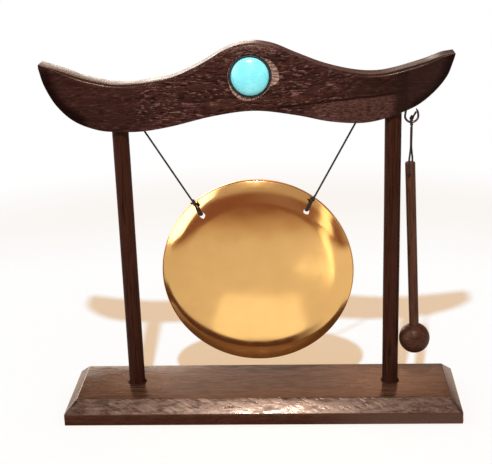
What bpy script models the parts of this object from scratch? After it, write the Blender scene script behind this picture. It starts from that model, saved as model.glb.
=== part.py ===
"""Desk-top tam-tam: a brass gong and its mallet, hung from a sawn wooden stand.

The frame has its origin at the middle of the base board's underside, +X to the
right as one faces the gong, +Y to the back and +Z up. All sizes are in metres.
"""

import math

import bmesh
import bpy
import numpy as np
from mathutils import Matrix, Vector

# Clearances shared by every fit
GAP = 0.0003
SMALL_CURVE_STEP = 0.0009

# Base board
BASE_LENGTH = 0.2118
BASE_DEPTH = 0.0526
BASE_THICKNESS = 0.0127
BASE_CHAMFER = 0.0063

# Posts, round dowels glued into blind sockets
POST_X = 0.0693
POST_RADIUS = 0.0043
POST_FOOT_DEPTH = 0.009
POST_HEAD_DEPTH = 0.0125

# Crossbeam, cut from board
BEAM_THICKNESS = 0.012
LEFT_HORN_REACH = 0.0381
RIGHT_HORN_REACH = 0.0294
EDGE_EASE = 0.0004

# Stone set in the crossbeam
STONE_RADIUS = 0.0095
STONE_DOME = 0.0036
STONE_X = -0.002
STONE_HEIGHT = 0.0268
BED_WALL = 0.0007
BED_FLOOR = 0.0012
BED_PROUD = 0.0002
RECESS_DEPTH = 0.004
CHATTER_DEPTH = 0.0006

# Gong, spun from sheet
GONG_RADIUS = 0.0511
GONG_X = -0.0013
GONG_SHEET = 0.0008
GONG_CROWN = 0.0015
SHOULDER_WIDTH = 0.016
SHOULDER_DEPTH = 0.006
GONG_TURN = math.radians(1.4)
HOLE_RADIUS = 0.0015
HOLE_INSET = 0.0076
HOLE_SPREAD = math.radians(38.6)
GAP_BELOW_GONG = 0.0118
GONG_DROP = 0.0295

# Cords
CORD_RADIUS = 0.0005
LEFT_CORD_INSET = 0.0117
RIGHT_CORD_INSET = 0.0183
CORD_HOLE_RADIUS = 0.00125
CORD_HOLE_DEPTH = 0.008
ANCHOR_KNOT_LENGTH = 0.0034
KNOT_RADIUS = 0.0012
KNOT_INSET = 0.0004

# Screw hook under the crossbeam
HOOK_X = 0.0092
HOOK_DROP = 0.0042
HOOK_RING_RADIUS = 0.0033
HOOK_WIRE_RADIUS = 0.00056
HOOK_SHANK_OFFSET = 0.0027
HOOK_SHANK_LENGTH = 0.008
HOOK_TIP_BACK = 0.0012
HOOK_TIP_RISE = 0.0038

# Mallet and its cord
MALLET_CORD_DROP = 0.027
STRAND_SPACING = 0.0013
STRAND_JOIN = 0.0145
CROSS_HOLE_RADIUS = 0.00095
CROSS_HOLE_TURN = math.radians(20.0)
CROSS_HOLE_BELOW_TOP = 0.0062
MALLET_SHIFT = -0.0001
STICK_TOP_RADIUS = 0.0026
STICK_END_RADIUS = 0.00255
STICK_PIVOT_TO_BALL = 0.0919
BALL_RADIUS = 0.0082
BALL_BORE_DEPTH = 0.008

# Crossbeam outline: share of the span (1 at a post, 2 at a horn's tip), height
BEAM_TOP = (
    (-2.0, 0.0348), (-1.75, 0.0316), (-1.51, 0.0281), (-1.27, 0.0255),
    (-1.0, 0.0237), (-0.8, 0.0243), (-0.6, 0.0267), (-0.4, 0.0325),
    (-0.2, 0.0401), (-0.04, 0.0430), (0.13, 0.0414), (0.3, 0.0364),
    (0.5, 0.0309), (0.7, 0.0274), (0.86, 0.0264), (1.0, 0.0277),
    (1.5, 0.0318), (1.8, 0.0350), (2.0, 0.0359),
)
BEAM_UNDERSIDE = (
    (-2.0, 0.0329), (-1.94, 0.0238), (-1.8, 0.0137), (-1.58, 0.0056),
    (-1.28, 0.0009), (-1.0, -0.0003), (-0.82, -0.0002), (-0.6, 0.0022),
    (-0.3, 0.0070), (0.0, 0.0093), (0.3, 0.0066), (0.52, 0.0033),
    (0.72, 0.0020), (0.86, 0.0028), (1.0, 0.0056), (1.38, 0.0104),
    (1.67, 0.0173), (1.87, 0.0248), (1.96, 0.0317), (1.995, 0.0351),
)

# Levels that follow from the sizes above
BASE_TOP = BASE_THICKNESS
GONG_Z = BASE_TOP + GAP_BELOW_GONG + GONG_RADIUS
BEAM_DATUM = GONG_Z + GONG_RADIUS + GONG_DROP
BEAM_FRONT = -BEAM_THICKNESS / 2.0
POST_TOP = BEAM_DATUM + POST_HEAD_DEPTH
POST_BOTTOM = BASE_TOP - POST_FOOT_DEPTH
STONE_Z = BEAM_DATUM + STONE_HEIGHT
BED_RADIUS = STONE_RADIUS + GAP + BED_WALL
RECESS_RADIUS = BED_RADIUS + GAP

WOOD = ("dark_wood", (0.062, 0.034, 0.026), 0.42, 0.0)
DOWEL = ("dark_dowel", (0.046, 0.026, 0.019), 0.38, 0.0)
BRASS = ("satin_brass", (0.72, 0.47, 0.17), 0.28, 1.0)
STONE = ("turquoise", (0.20, 0.72, 0.78), 0.18, 0.0)
RESIN = ("black_resin", (0.018, 0.030, 0.026), 0.35, 0.0)
CORD = ("dark_cord", (0.030, 0.028, 0.027), 0.70, 0.0)
BRONZE = ("dark_bronze", (0.080, 0.055, 0.050), 0.35, 1.0)
MALLET_WOOD = ("mallet_wood", (0.090, 0.050, 0.034), 0.45, 0.0)


def clear_scene():
    """Remove every object, so the model starts from an empty scene."""
    for item in list(bpy.data.objects):
        bpy.data.objects.remove(item, do_unlink=True)


def make_material(spec):
    """Return the Principled material for a (name, colour, roughness, metallic)."""
    name, colour, roughness, metallic = spec
    found = bpy.data.materials.get(name)
    if found is not None:
        return found
    material = bpy.data.materials.new(name)
    material.use_nodes = True
    shader = material.node_tree.nodes["Principled BSDF"]
    shader.inputs["Base Color"].default_value = (*colour, 1.0)
    shader.inputs["Roughness"].default_value = roughness
    shader.inputs["Metallic"].default_value = metallic
    return material


def link(item):
    """Put an object in the scene."""
    bpy.context.scene.collection.objects.link(item)
    return item


def make_axis(name, at, parent=None):
    """Return an empty on a joint's axis, at a place in the part's frame."""
    empty = link(bpy.data.objects.new(name, None))
    empty["at"] = tuple(at)
    start = Vector(parent["at"]) if parent else Vector()
    empty.parent = parent
    empty.location = Vector(at) - start
    return empty


def finish(item, spec, axis=None, smooth_degrees=35.0):
    """Shade an object, give it its material and hang it on its joint's empty."""
    item.data.materials.append(make_material(spec))
    if item.type == "MESH":
        item.data.shade_smooth()
        item.data.set_sharp_from_angle(angle=math.radians(smooth_degrees))
    if axis is not None:
        at = Vector(axis["at"])
        item.data.transform(Matrix.Translation(-at))
        item.parent = axis
    return item


def mesh_object(name, bm):
    """Turn a bmesh into a linked object, with its faces pointing outwards."""
    bmesh.ops.recalc_face_normals(bm, faces=bm.faces[:])
    mesh = bpy.data.meshes.new(name)
    bm.to_mesh(mesh)
    bm.free()
    return link(bpy.data.objects.new(name, mesh))


def turned(name, profile, segments, frame=None):
    """Turn a (radius, height) profile about its axis; frame places local Z."""
    bm = bmesh.new()
    rings = []
    for radius, height in profile:
        if radius < 1e-7:
            rings.append([bm.verts.new((0.0, 0.0, height))])
            continue
        ring = []
        for k in range(segments):
            turn = 2.0 * math.pi * k / segments
            ring.append(bm.verts.new((radius * math.cos(turn), radius * math.sin(turn), height)))
        rings.append(ring)
    for one, two in zip(rings, rings[1:]):
        for k in range(segments):
            after = (k + 1) % segments
            if len(one) == 1:
                bm.faces.new((one[0], two[k], two[after]))
            elif len(two) == 1:
                bm.faces.new((one[k], one[after], two[0]))
            else:
                bm.faces.new((one[k], one[after], two[after], two[k]))
    for ring in (rings[0], rings[-1]):
        if len(ring) > 1:
            bm.faces.new(ring)
    if frame is not None:
        bmesh.ops.transform(bm, matrix=frame, verts=bm.verts[:])
    return mesh_object(name, bm)


def turned_ring(name, profile, segments, frame):
    """Turn a closed (radius, height) outline that stays off its axis."""
    bm = bmesh.new()
    rings = []
    for k in range(segments):
        turn = 2.0 * math.pi * k / segments
        rings.append([bm.verts.new((r * math.cos(turn), r * math.sin(turn), h)) for r, h in profile])
    count = len(profile)
    for k in range(segments):
        one = rings[k]
        two = rings[(k + 1) % segments]
        for j in range(count):
            after = (j + 1) % count
            bm.faces.new((one[j], one[after], two[after], two[j]))
    bmesh.ops.transform(bm, matrix=frame, verts=bm.verts[:])
    return mesh_object(name, bm)


def extruded(name, outline, low_y, high_y):
    """Extrude an (x, z) outline along Y."""
    bm = bmesh.new()
    face = bm.faces.new([bm.verts.new((x, low_y, z)) for x, z in outline])
    grown = bmesh.ops.extrude_face_region(bm, geom=[face])
    moved = [v for v in grown["geom"] if isinstance(v, bmesh.types.BMVert)]
    bmesh.ops.translate(bm, verts=moved, vec=(0.0, high_y - low_y, 0.0))
    return mesh_object(name, bm)


def along(start, towards):
    """Return the frame whose origin is start and whose local Z runs towards a point."""
    direction = (Vector(towards) - Vector(start)).normalized()
    return Matrix.Translation(Vector(start)) @ direction.to_track_quat("Z", "Y").to_matrix().to_4x4()


def rod(name, start, towards, radius, segments=32):
    """Return a round bar between two points."""
    length = (Vector(towards) - Vector(start)).length
    return turned(name, ((radius, 0.0), (radius, length)), segments, along(start, towards))


def cut(target, cutter):
    """Cut one closed shape out of another and hide the cutter."""
    cutter.hide_render = True
    cutter.display_type = "WIRE"
    step = target.modifiers.new(cutter.name, "BOOLEAN")
    step.operation = "DIFFERENCE"
    step.solver = "EXACT"
    step.object = cutter


def smooth_path(points, steps):
    """Read a smooth curve that passes through the given points, steps to a span."""
    knots = [Vector(p) for p in points]
    knots = [knots[0] * 2 - knots[1]] + knots + [knots[-1] * 2 - knots[-2]]
    path = []
    for a, b, c, d in zip(knots, knots[1:], knots[2:], knots[3:]):
        for k in range(steps):
            t = k / steps
            path.append(0.5 * (2 * b + (c - a) * t + (2 * a - 5 * b + 4 * c - d) * t * t
                               + (3 * b - a - 3 * c + d) * t * t * t))
    path.append(knots[-2])
    return path


def even_path(points, spacing):
    """Read a smooth curve through the points at an even spacing."""
    dense = np.array([tuple(p) for p in smooth_path(points, 24)])
    steps = np.linalg.norm(np.diff(dense, axis=0), axis=1)
    reach = np.concatenate(([0.0], np.cumsum(steps)))
    wanted = np.linspace(0.0, reach[-1], max(2, int(math.ceil(reach[-1] / spacing))) + 1)
    return [Vector([float(np.interp(s, reach, dense[:, k])) for k in range(3)]) for s in wanted]


def tube(name, path, radius, thickness=None):
    """Return a filled tube along a path, as a curve; thickness scales each point."""
    curve = bpy.data.curves.new(name, "CURVE")
    curve.dimensions = "3D"
    curve.bevel_depth = radius
    curve.bevel_resolution = 2
    curve.use_fill_caps = True
    curve.twist_mode = "MINIMUM"
    spline = curve.splines.new("POLY")
    spline.points.add(len(path) - 1)
    for k, (point, place) in enumerate(zip(spline.points, path)):
        point.co = (*place, 1.0)
        if thickness is not None:
            point.radius = thickness[k]
    return link(bpy.data.objects.new(name, curve))


def as_mesh(item):
    """Replace a curve object with a mesh object of the same name."""
    name = item.name
    view = bpy.context.evaluated_depsgraph_get()
    mesh = bpy.data.meshes.new_from_object(item.evaluated_get(view))
    bpy.data.objects.remove(item, do_unlink=True)
    bm = bmesh.new()
    bm.from_mesh(mesh)
    bmesh.ops.remove_doubles(bm, verts=bm.verts[:], dist=0.000001)
    return mesh_object(name, bm)


def lump(name, centre, radius, stretch=1.0, towards=(0.0, 0.0, 1.0)):
    """Return a rounded lump, such as a knot, stretched along one direction."""
    bm = bmesh.new()
    bmesh.ops.create_uvsphere(bm, u_segments=12, v_segments=8, radius=radius)
    turn = Vector(towards).to_track_quat("Z", "Y").to_matrix().to_4x4()
    place = Matrix.Translation(Vector(centre)) @ turn @ Matrix.Diagonal((1.0, 1.0, stretch, 1.0))
    bmesh.ops.transform(bm, matrix=place, verts=bm.verts[:])
    return mesh_object(name, bm)


def fuse(target, others):
    """Join shapes that meet into one body."""
    for other in others:
        other.hide_render = True
        other.display_type = "WIRE"
        step = target.modifiers.new(other.name, "BOOLEAN")
        step.operation = "UNION"
        step.solver = "EXACT"
        step.object = other


def beam_x(share):
    """Turn a share of the crossbeam's span into X."""
    if share < -1.0:
        return -POST_X + (share + 1.0) * LEFT_HORN_REACH
    if share > 1.0:
        return POST_X + (share - 1.0) * RIGHT_HORN_REACH
    return share * POST_X


def beam_edge(keys):
    """Return an edge of the crossbeam's outline as smooth (x, z) points."""
    points = [(beam_x(share), 0.0, BEAM_DATUM + height) for share, height in keys]
    return [(p.x, p.z) for p in smooth_path(points, 3)]


def underside_at(x):
    """Return the height of the crossbeam's underside."""
    edge = beam_edge(BEAM_UNDERSIDE)
    return float(np.interp(x, [p[0] for p in edge], [p[1] for p in edge]))


def base_board():
    """Model the base board with its mitred chamfer and two sockets."""
    half_x = BASE_LENGTH / 2.0
    half_y = BASE_DEPTH / 2.0
    step = BASE_THICKNESS - BASE_CHAMFER
    bm = bmesh.new()
    rings = []
    for inset, height in ((0.0, 0.0), (0.0, step), (BASE_CHAMFER, BASE_TOP)):
        x = half_x - inset
        y = half_y - inset
        rings.append([bm.verts.new(c) for c in
                      ((-x, -y, height), (x, -y, height), (x, y, height), (-x, y, height))])
    for one, two in zip(rings, rings[1:]):
        for k in range(4):
            after = (k + 1) % 4
            bm.faces.new((one[k], one[after], two[after], two[k]))
    bm.faces.new(rings[0])
    bm.faces.new(rings[-1])
    board = mesh_object("base_board", bm)
    for side, x in (("left", -POST_X), ("right", POST_X)):
        floor = (x, 0.0, POST_BOTTOM - GAP)
        mouth = (x, 0.0, BASE_TOP + 0.001)
        cut(board, rod(side + "_foot_socket", floor, mouth, POST_RADIUS + GAP))
    return finish(board, WOOD)


def posts():
    """Model the two round posts."""
    for side, x in (("left", -POST_X), ("right", POST_X)):
        post = rod(side + "_post", (x, 0.0, POST_BOTTOM), (x, 0.0, POST_TOP), POST_RADIUS)
        finish(post, DOWEL)


def chatter_outline():
    """Return the outline of the rough shallow cut round the stone's recess."""
    points = []
    for k in range(64):
        turn = 360.0 * k / 64
        radius = RECESS_RADIUS + 0.0004
        for peak, before, after, reach in ((-5.0, 22.0, 61.0, 0.0034), (248.0, 50.0, 48.0, 0.0012)):
            away = (turn - peak + 180.0) % 360.0 - 180.0
            span = after if away > 0.0 else before
            if abs(away) < span:
                radius += reach * math.cos(0.5 * math.pi * away / span)
        angle = math.radians(turn)
        points.append((STONE_X + radius * math.cos(angle), STONE_Z + radius * math.sin(angle)))
    return points


def crossbeam(mouths, hook):
    """Model the crossbeam with its sockets, cord holes, pilot hole and recess."""
    outline = beam_edge(BEAM_TOP) + list(reversed(beam_edge(BEAM_UNDERSIDE)))
    beam = extruded("crossbeam", outline, BEAM_FRONT, -BEAM_FRONT)
    ease = beam.modifiers.new("ease", "BEVEL")
    ease.width = EDGE_EASE
    ease.segments = 1
    ease.limit_method = "ANGLE"
    ease.angle_limit = math.radians(60.0)
    for side, x in (("left", -POST_X), ("right", POST_X)):
        low = (x, 0.0, BEAM_DATUM - 0.002)
        high = (x, 0.0, POST_TOP + GAP)
        cut(beam, rod(side + "_head_socket", low, high, POST_RADIUS + GAP))
    for side, mouth in zip(("left", "right"), mouths):
        low = mouth - Vector((0.0, 0.0, 0.002))
        high = mouth + Vector((0.0, 0.0, CORD_HOLE_DEPTH))
        cut(beam, rod(side + "_cord_hole", low, high, CORD_HOLE_RADIUS, 20))
    shank = hook["shank"]
    pilot_top = shank + Vector((0.0, 0.0, HOOK_SHANK_LENGTH + GAP))
    cut(beam, rod("hook_pilot", shank - Vector((0.0, 0.0, 0.003)), pilot_top, HOOK_WIRE_RADIUS + GAP, 16))
    floor = (STONE_X, BEAM_FRONT + RECESS_DEPTH, STONE_Z)
    front = (STONE_X, BEAM_FRONT - 0.002, STONE_Z)
    cut(beam, rod("stone_recess", floor, front, RECESS_RADIUS, 64))
    rough = extruded("stone_chatter", chatter_outline(), BEAM_FRONT - 0.002, BEAM_FRONT + CHATTER_DEPTH)
    cut(beam, rough)
    return finish(beam, WOOD)


def stone_setting():
    """Model the resin bed, a shallow cup, and the domed stone that it holds."""
    back_y = BEAM_FRONT + RECESS_DEPTH - GAP
    towards = (STONE_X, back_y - 1.0, STONE_Z)
    frame = along((STONE_X, back_y, STONE_Z), towards)
    height = RECESS_DEPTH - GAP + BED_PROUD
    inner = STONE_RADIUS + GAP
    profile = ((0.0, 0.0), (BED_RADIUS, 0.0), (BED_RADIUS, height),
               (inner, height), (inner, BED_FLOOR), (0.0, BED_FLOOR))
    finish(turned("stone_bed", profile, 64, frame), RESIN)
    low = BED_FLOOR + GAP
    girdle = height + 0.0001
    profile = [(0.0, low), (STONE_RADIUS - 0.0004, low), (STONE_RADIUS, low + 0.0004)]
    for k in range(9):
        turn = 0.5 * math.pi * k / 8
        profile.append((STONE_RADIUS * math.cos(turn), girdle + STONE_DOME * math.sin(turn)))
    profile[-1] = (0.0, girdle + STONE_DOME)
    finish(turned("turquoise_stone", profile, 48, frame), STONE)


def shoulder_start():
    """Return the angle at which the gong's face runs into its shoulder."""
    slope = 2.0 * GONG_CROWN / (GONG_RADIUS - SHOULDER_WIDTH)
    return math.atan(slope * SHOULDER_WIDTH / SHOULDER_DEPTH)


def shoulder_point(turn):
    """Return (radius, depth) on the shoulder's outside; 90 degrees is its back edge."""
    radius = GONG_RADIUS - SHOULDER_WIDTH + SHOULDER_WIDTH * math.sin(turn)
    depth = GONG_CROWN + SHOULDER_DEPTH * (math.cos(shoulder_start()) - math.cos(turn))
    return radius, depth


def shoulder_normal(turn):
    """Return the outward normal on the shoulder's outside, as (radius, depth)."""
    normal = Vector((math.sin(turn) / SHOULDER_WIDTH, -math.cos(turn) / SHOULDER_DEPTH))
    return normal.normalized()


def gong_profile(inset):
    """Return the gong's section from centre to back edge, inset by a sheet's part."""
    points = []
    start = shoulder_start()
    flat = shoulder_point(start)[0]
    for share in (0.0, 0.35, 0.7):
        points.append((flat * share, GONG_CROWN * share * share + inset))
    for k in range(9):
        turn = start + (0.5 * math.pi - start) * k / 8
        radius, depth = shoulder_point(turn)
        normal = shoulder_normal(turn)
        points.append((radius - inset * normal.x, depth - inset * normal.y))
    return points


def gong_balance():
    """Return the depth of the gong's centre of mass behind its front."""
    area = 0.0
    moment = 0.0
    middle = gong_profile(GONG_SHEET / 2.0)
    for (r1, d1), (r2, d2) in zip(middle, middle[1:]):
        strip = math.hypot(r2 - r1, d2 - d1) * (r1 + r2)
        area += strip
        moment += strip * (d1 + d2) / 2.0
    return moment / area


GONG_FRONT = -gong_balance()


def on_gong(radius, turn, depth):
    """Return a point at a radius, a turn from straight up and a depth behind the front."""
    return Vector((GONG_X + radius * math.sin(turn), GONG_FRONT + depth, GONG_Z + radius * math.cos(turn)))


def hole_turn(side):
    """Return the turn from straight up of one cord hole; side is -1 or 1."""
    return side * HOLE_SPREAD - GONG_TURN


def knot_place(side, mouth):
    """Return where a cord's straight run from its mouth to its hole meets the knot."""
    reach = GONG_RADIUS - KNOT_INSET
    centre = Vector((GONG_X, 0.0, GONG_Z))
    hole = on_gong(GONG_RADIUS - HOLE_INSET, hole_turn(side), 0.0)
    hole.y = 0.0
    direction = (mouth - hole).normalized()
    off = hole - centre
    along_line = off.dot(direction)
    travel = -along_line + math.sqrt(along_line ** 2 - off.length_squared + reach ** 2)
    return hole + direction * travel


def gong_disc(axis):
    """Model the gong with its rounded shoulder, open back and two cord holes."""
    outside = gong_profile(0.0)
    inside = gong_profile(GONG_SHEET)
    centre = Vector((GONG_X, GONG_FRONT, GONG_Z))
    frame = Matrix.Translation(centre) @ Matrix.Rotation(math.radians(-90.0), 4, "X")
    disc = turned("gong_disc", outside + list(reversed(inside)), 72, frame)
    for side, name in ((-1, "left"), (1, "right")):
        radius = GONG_RADIUS - HOLE_INSET
        start = on_gong(radius, hole_turn(side), -0.003)
        end = on_gong(radius, hole_turn(side), 0.006)
        punch = rod(name + "_punch", start, end, HOLE_RADIUS, 24)
        punch.data.transform(Matrix.Translation(-Vector(axis["at"])))
        punch.parent = axis
        cut(disc, punch)
    return finish(disc, BRASS, axis)


def cord_loop(name, side, knot, tail, axis):
    """Model a noose: down to its hole, through it and back round the rim."""
    lift = CORD_RADIUS + GAP
    knot_angle = math.atan2(knot.x - GONG_X, knot.z - GONG_Z)
    through_r = GONG_RADIUS - HOLE_INSET + HOLE_RADIUS - lift
    through = math.asin(min(1.0, (through_r - GONG_RADIUS + SHOULDER_WIDTH) / SHOULDER_WIDTH))
    back = GONG_CROWN + SHOULDER_DEPTH * math.cos(shoulder_start())

    def blend(share):
        return knot_angle + (hole_turn(side) - knot_angle) * share

    def over(turn, share, off=lift):
        radius, depth = shoulder_point(turn)
        normal = shoulder_normal(turn)
        return on_gong(radius + off * normal.x, blend(share), depth + off * normal.y)

    behind = -GONG_SHEET - lift
    entry = over(through + 0.05, 1.0, lift * 0.95)
    brink = on_gong(GONG_RADIUS + lift * 1.05, blend(0.45), back - lift * 0.5)
    route = [
        knot,
        knot.lerp(entry, 0.35),
        knot.lerp(entry, 0.7),
        entry,
        over(through - 0.01, 1.0, -GONG_SHEET * 0.5),
        over(through + 0.03, 1.0, behind - lift * 0.4),
        over(math.radians(60.0), 0.9, behind - lift * 0.2),
        on_gong(GONG_RADIUS - GONG_SHEET - lift * 0.85, blend(0.75), back + lift * 0.7),
        on_gong(GONG_RADIUS - GONG_SHEET * 0.45, blend(0.65), back + lift * 1.12),
        on_gong(GONG_RADIUS + lift * 0.8, blend(0.55), back + lift * 0.75),
        brink,
        brink.lerp(knot, 0.35),
        brink.lerp(knot, 0.7),
        knot,
    ]
    loop = as_mesh(tube(name, even_path(route, SMALL_CURVE_STEP), CORD_RADIUS))
    ball = lump(name + "_knot", knot, KNOT_RADIUS)
    end = as_mesh(tube(name + "_tail", smooth_path([knot, knot + tail * 0.5, knot + tail], 2), CORD_RADIUS))
    for piece in (ball, end):
        piece.data.transform(Matrix.Translation(-Vector(axis["at"])))
        piece.parent = axis
    fuse(loop, (ball, end))
    return finish(loop, CORD, axis)


def gong_cords(mouths, knots, axis):
    """Model each cord from its mouth to its knot, and its knotted end in the beam."""
    for name, mouth, knot in zip(("left", "right"), mouths, knots):
        direction = (knot - mouth).normalized()
        start = mouth + direction * GAP
        end = knot - direction * (KNOT_RADIUS + GAP)
        path = even_path([start, (start + end) / 2.0, end], CORD_RADIUS * 5.0)
        finish(tube(name + "_cord", path, CORD_RADIUS), CORD, axis)
        top = CORD_HOLE_DEPTH - GAP
        shoulder = top - ANCHOR_KNOT_LENGTH
        wide = CORD_HOLE_RADIUS - GAP
        profile = ((CORD_RADIUS, GAP), (CORD_RADIUS, shoulder), (wide, shoulder + 0.0006),
                   (wide, top - 0.0006), (CORD_RADIUS, top))
        finish(turned(name + "_cord_anchor", profile, 16, Matrix.Translation(mouth)), CORD)


def hook_geometry():
    """Return the screw hook's shank foot, ring centre and the ring's lowest point."""
    centre_x = POST_X + HOOK_X
    shank_x = centre_x - HOOK_SHANK_OFFSET
    shank = Vector((shank_x, 0.0, underside_at(shank_x)))
    centre = Vector((centre_x, 0.0, shank.z - HOOK_DROP))
    return {"shank": shank, "centre": centre, "low": centre - Vector((0.0, 0.0, HOOK_RING_RADIUS))}


def screw_hook(hook):
    """Model the screw hook: a pointed shank, an open ring and a pointed tip."""
    shank = hook["shank"]
    centre = hook["centre"]
    up = Vector((0.0, 0.0, 1.0))
    route = [shank - up * 0.0002]
    for degrees in range(180, 361, 30):
        turn = math.radians(degrees)
        route.append(centre + HOOK_RING_RADIUS * Vector((math.cos(turn), 0.0, math.sin(turn))))
    tip = centre + Vector((HOOK_RING_RADIUS - HOOK_TIP_BACK, 0.0, HOOK_TIP_RISE))
    route.append((route[-1] * 0.42 + tip * 0.58) + Vector((0.0003, 0.0, 0.0)))
    route.append(tip)
    path = [shank + up * HOOK_SHANK_LENGTH, shank + up * (HOOK_SHANK_LENGTH - 0.002), shank + up * 0.0008]
    path += even_path(route, SMALL_CURVE_STEP)
    thickness = [0.2, 1.0] + [1.0] * (len(path) - 4) + [0.85, 0.25]
    return finish(tube("screw_hook", path, HOOK_WIRE_RADIUS, thickness), BRONZE)


def mallet_hitch(hook, axis):
    """Model the knot on the hook: a turn round the ring, a lump and a short tail."""
    low = hook["low"]
    centre = hook["centre"]
    wrap = HOOK_WIRE_RADIUS + GAP + CORD_RADIUS + 0.00002
    ring = [(wrap + CORD_RADIUS * math.cos(t), CORD_RADIUS * math.sin(t))
            for t in (2.0 * math.pi * k / 8 for k in range(8))]
    frame = Matrix.Translation(low) @ Matrix.Rotation(math.radians(90.0), 4, "Y")
    hitch = turned_ring("mallet_hitch", ring, 20, frame)
    lean = Vector((0.5, 0.0, 0.87)).normalized()
    middle = centre + Vector((0.0001, 0.0, -0.0010))
    body = lump("hitch_knot", middle, 0.00065, 1.9, lean)
    start = middle + lean * 0.0004
    out = Vector((0.0, -0.0013, 0.0))
    tail = [start, start + lean * 0.0011 + out, start + lean * 0.0024 + out, start + lean * 0.0036 + out]
    end = as_mesh(tube("hitch_tail", even_path(tail, SMALL_CURVE_STEP), CORD_RADIUS))
    for piece in (body, end):
        piece.data.transform(Matrix.Translation(-Vector(axis["at"])))
        piece.parent = axis
    fuse(hitch, (body, end))
    return finish(hitch, CORD, axis)


def mallet_frame(hook):
    """Return the cross hole's centre, the ball's centre and the cross hole's direction."""
    pivot = hook["low"] + Vector((MALLET_SHIFT, 0.0, -MALLET_CORD_DROP))
    ball_x = POST_X + POST_RADIUS + GAP + BALL_RADIUS
    fall = math.sqrt(STICK_PIVOT_TO_BALL ** 2 - (ball_x - pivot.x) ** 2)
    ball = Vector((ball_x, 0.0, pivot.z - fall))
    through = Vector((math.sin(CROSS_HOLE_TURN), math.cos(CROSS_HOLE_TURN), 0.0))
    return pivot, ball, through


def mallet_cord(hook, pivot, through, axis):
    """Model the mallet's cord: down from the hitch, through the stick and up again."""
    start = hook["low"] - Vector((0.0, 0.0, HOOK_WIRE_RADIUS + 2.0 * CORD_RADIUS + 2.0 * GAP))
    clear = STICK_TOP_RADIUS + CORD_RADIUS + GAP
    above = start.z - pivot.z
    down = []
    for height, spread in ((above, 0.0), (above * 0.8, 0.0), (STRAND_JOIN, 0.0), (STRAND_JOIN * 0.76, 0.4),
                           (STRAND_JOIN * 0.52, 0.94), (STRAND_JOIN * 0.3, 1.0), (0.0014, 1.0), (0.0004, 0.93)):
        drift = start.lerp(pivot, 1.0 - height / above)
        down.append((Vector((drift.x, 0.0, pivot.z + height)), spread))
    route = []
    narrow = STRAND_SPACING / 2.0
    for place, spread in down:
        route.append(place - through * (narrow + (clear - narrow) * spread))
    route.append(pivot - through * (clear * 0.55))
    route.append(pivot + through * (clear * 0.55))
    for place, spread in reversed(down):
        route.append(place + through * (narrow + (clear - narrow) * spread))
    path = even_path(route, CORD_RADIUS * 2.6)
    return finish(tube("mallet_cord", path, CORD_RADIUS), CORD, axis)


def mallet(pivot, ball, through, axis):
    """Model the stick with its cross hole, and the ball that it is glued into."""
    up = (pivot - ball).normalized()
    bottom = ball + up * (BALL_RADIUS - BALL_BORE_DEPTH + GAP)
    length = (pivot - bottom).length + CROSS_HOLE_BELOW_TOP
    profile = ((STICK_END_RADIUS, 0.0), (STICK_TOP_RADIUS, length - 0.0004),
               (STICK_TOP_RADIUS - 0.0004, length))
    stick = turned("mallet_stick", profile, 32, along(bottom, pivot))
    reach = STICK_TOP_RADIUS + 0.001
    hole = rod("cross_hole", pivot - through * reach, pivot + through * reach, CROSS_HOLE_RADIUS, 16)
    bm = bmesh.new()
    bmesh.ops.create_uvsphere(bm, u_segments=36, v_segments=20, radius=BALL_RADIUS)
    bmesh.ops.transform(bm, matrix=along(ball, pivot), verts=bm.verts[:])
    head = mesh_object("mallet_head", bm)
    bore = rod("ball_bore", bottom - up * GAP, ball + up * (BALL_RADIUS + 0.001), STICK_END_RADIUS + GAP)
    for piece in (hole, bore):
        piece.data.transform(Matrix.Translation(-Vector(axis["at"])))
        piece.parent = axis
    cut(stick, hole)
    cut(head, bore)
    finish(stick, MALLET_WOOD, axis)
    finish(head, MALLET_WOOD, axis)


def build():
    """Model the whole tam-tam."""
    clear_scene()
    mouths = []
    for x in (-POST_X + LEFT_CORD_INSET, POST_X - RIGHT_CORD_INSET):
        mouths.append(Vector((x, 0.0, underside_at(x))))
    knots = [knot_place(-1, mouths[0]), knot_place(1, mouths[1])]
    hook = hook_geometry()
    pivot, ball, through = mallet_frame(hook)

    base_board()
    posts()
    crossbeam(mouths, hook)
    stone_setting()
    screw_hook(hook)

    swing = make_axis("gong_swing_axis", (mouths[0] + mouths[1]) / 2.0)
    tilt = make_axis("gong_tilt_axis", (knots[0] + knots[1]) / 2.0, swing)
    gong_cords(mouths, knots, swing)
    gong_disc(tilt)
    cord_loop("left_loop", -1, knots[0], Vector((-0.0024, 0.0, 0.0004)), tilt)
    cord_loop("right_loop", 1, knots[1], Vector((0.0026, -0.0002, 0.0006)), tilt)

    side = make_axis("mallet_side_axis", hook["centre"])
    front = make_axis("mallet_front_axis", hook["low"], side)
    turn = make_axis("mallet_pivot_axis", pivot, front)
    mallet_hitch(hook, side)
    mallet_cord(hook, pivot, through, front)
    mallet(pivot, ball, through, turn)

    for name, place in (("left mouth", mouths[0]), ("right mouth", mouths[1]), ("left knot", knots[0]),
                        ("right knot", knots[1]), ("hook ring", hook["centre"]), ("hook low", hook["low"]),
                        ("cross hole", pivot), ("ball", ball)):
        print("%-12s %8.5f %8.5f %8.5f" % (name, *place))


build()
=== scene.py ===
"""Visual model of a desk-top tam-tam: a brass gong on a dark wooden stand, and its mallet.

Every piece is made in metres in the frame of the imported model. The origin is the
middle of the base board's underside, +X to the right as one faces the gong, +Y to
the back and +Z up. The patterns of the finishes are laid out in millimetres.
"""

import logging
import math
from collections.abc import Callable, Sequence
from dataclasses import dataclass, field, replace
from enum import Enum

import bmesh
import bpy
from mathutils import Matrix, Vector, noise


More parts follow.
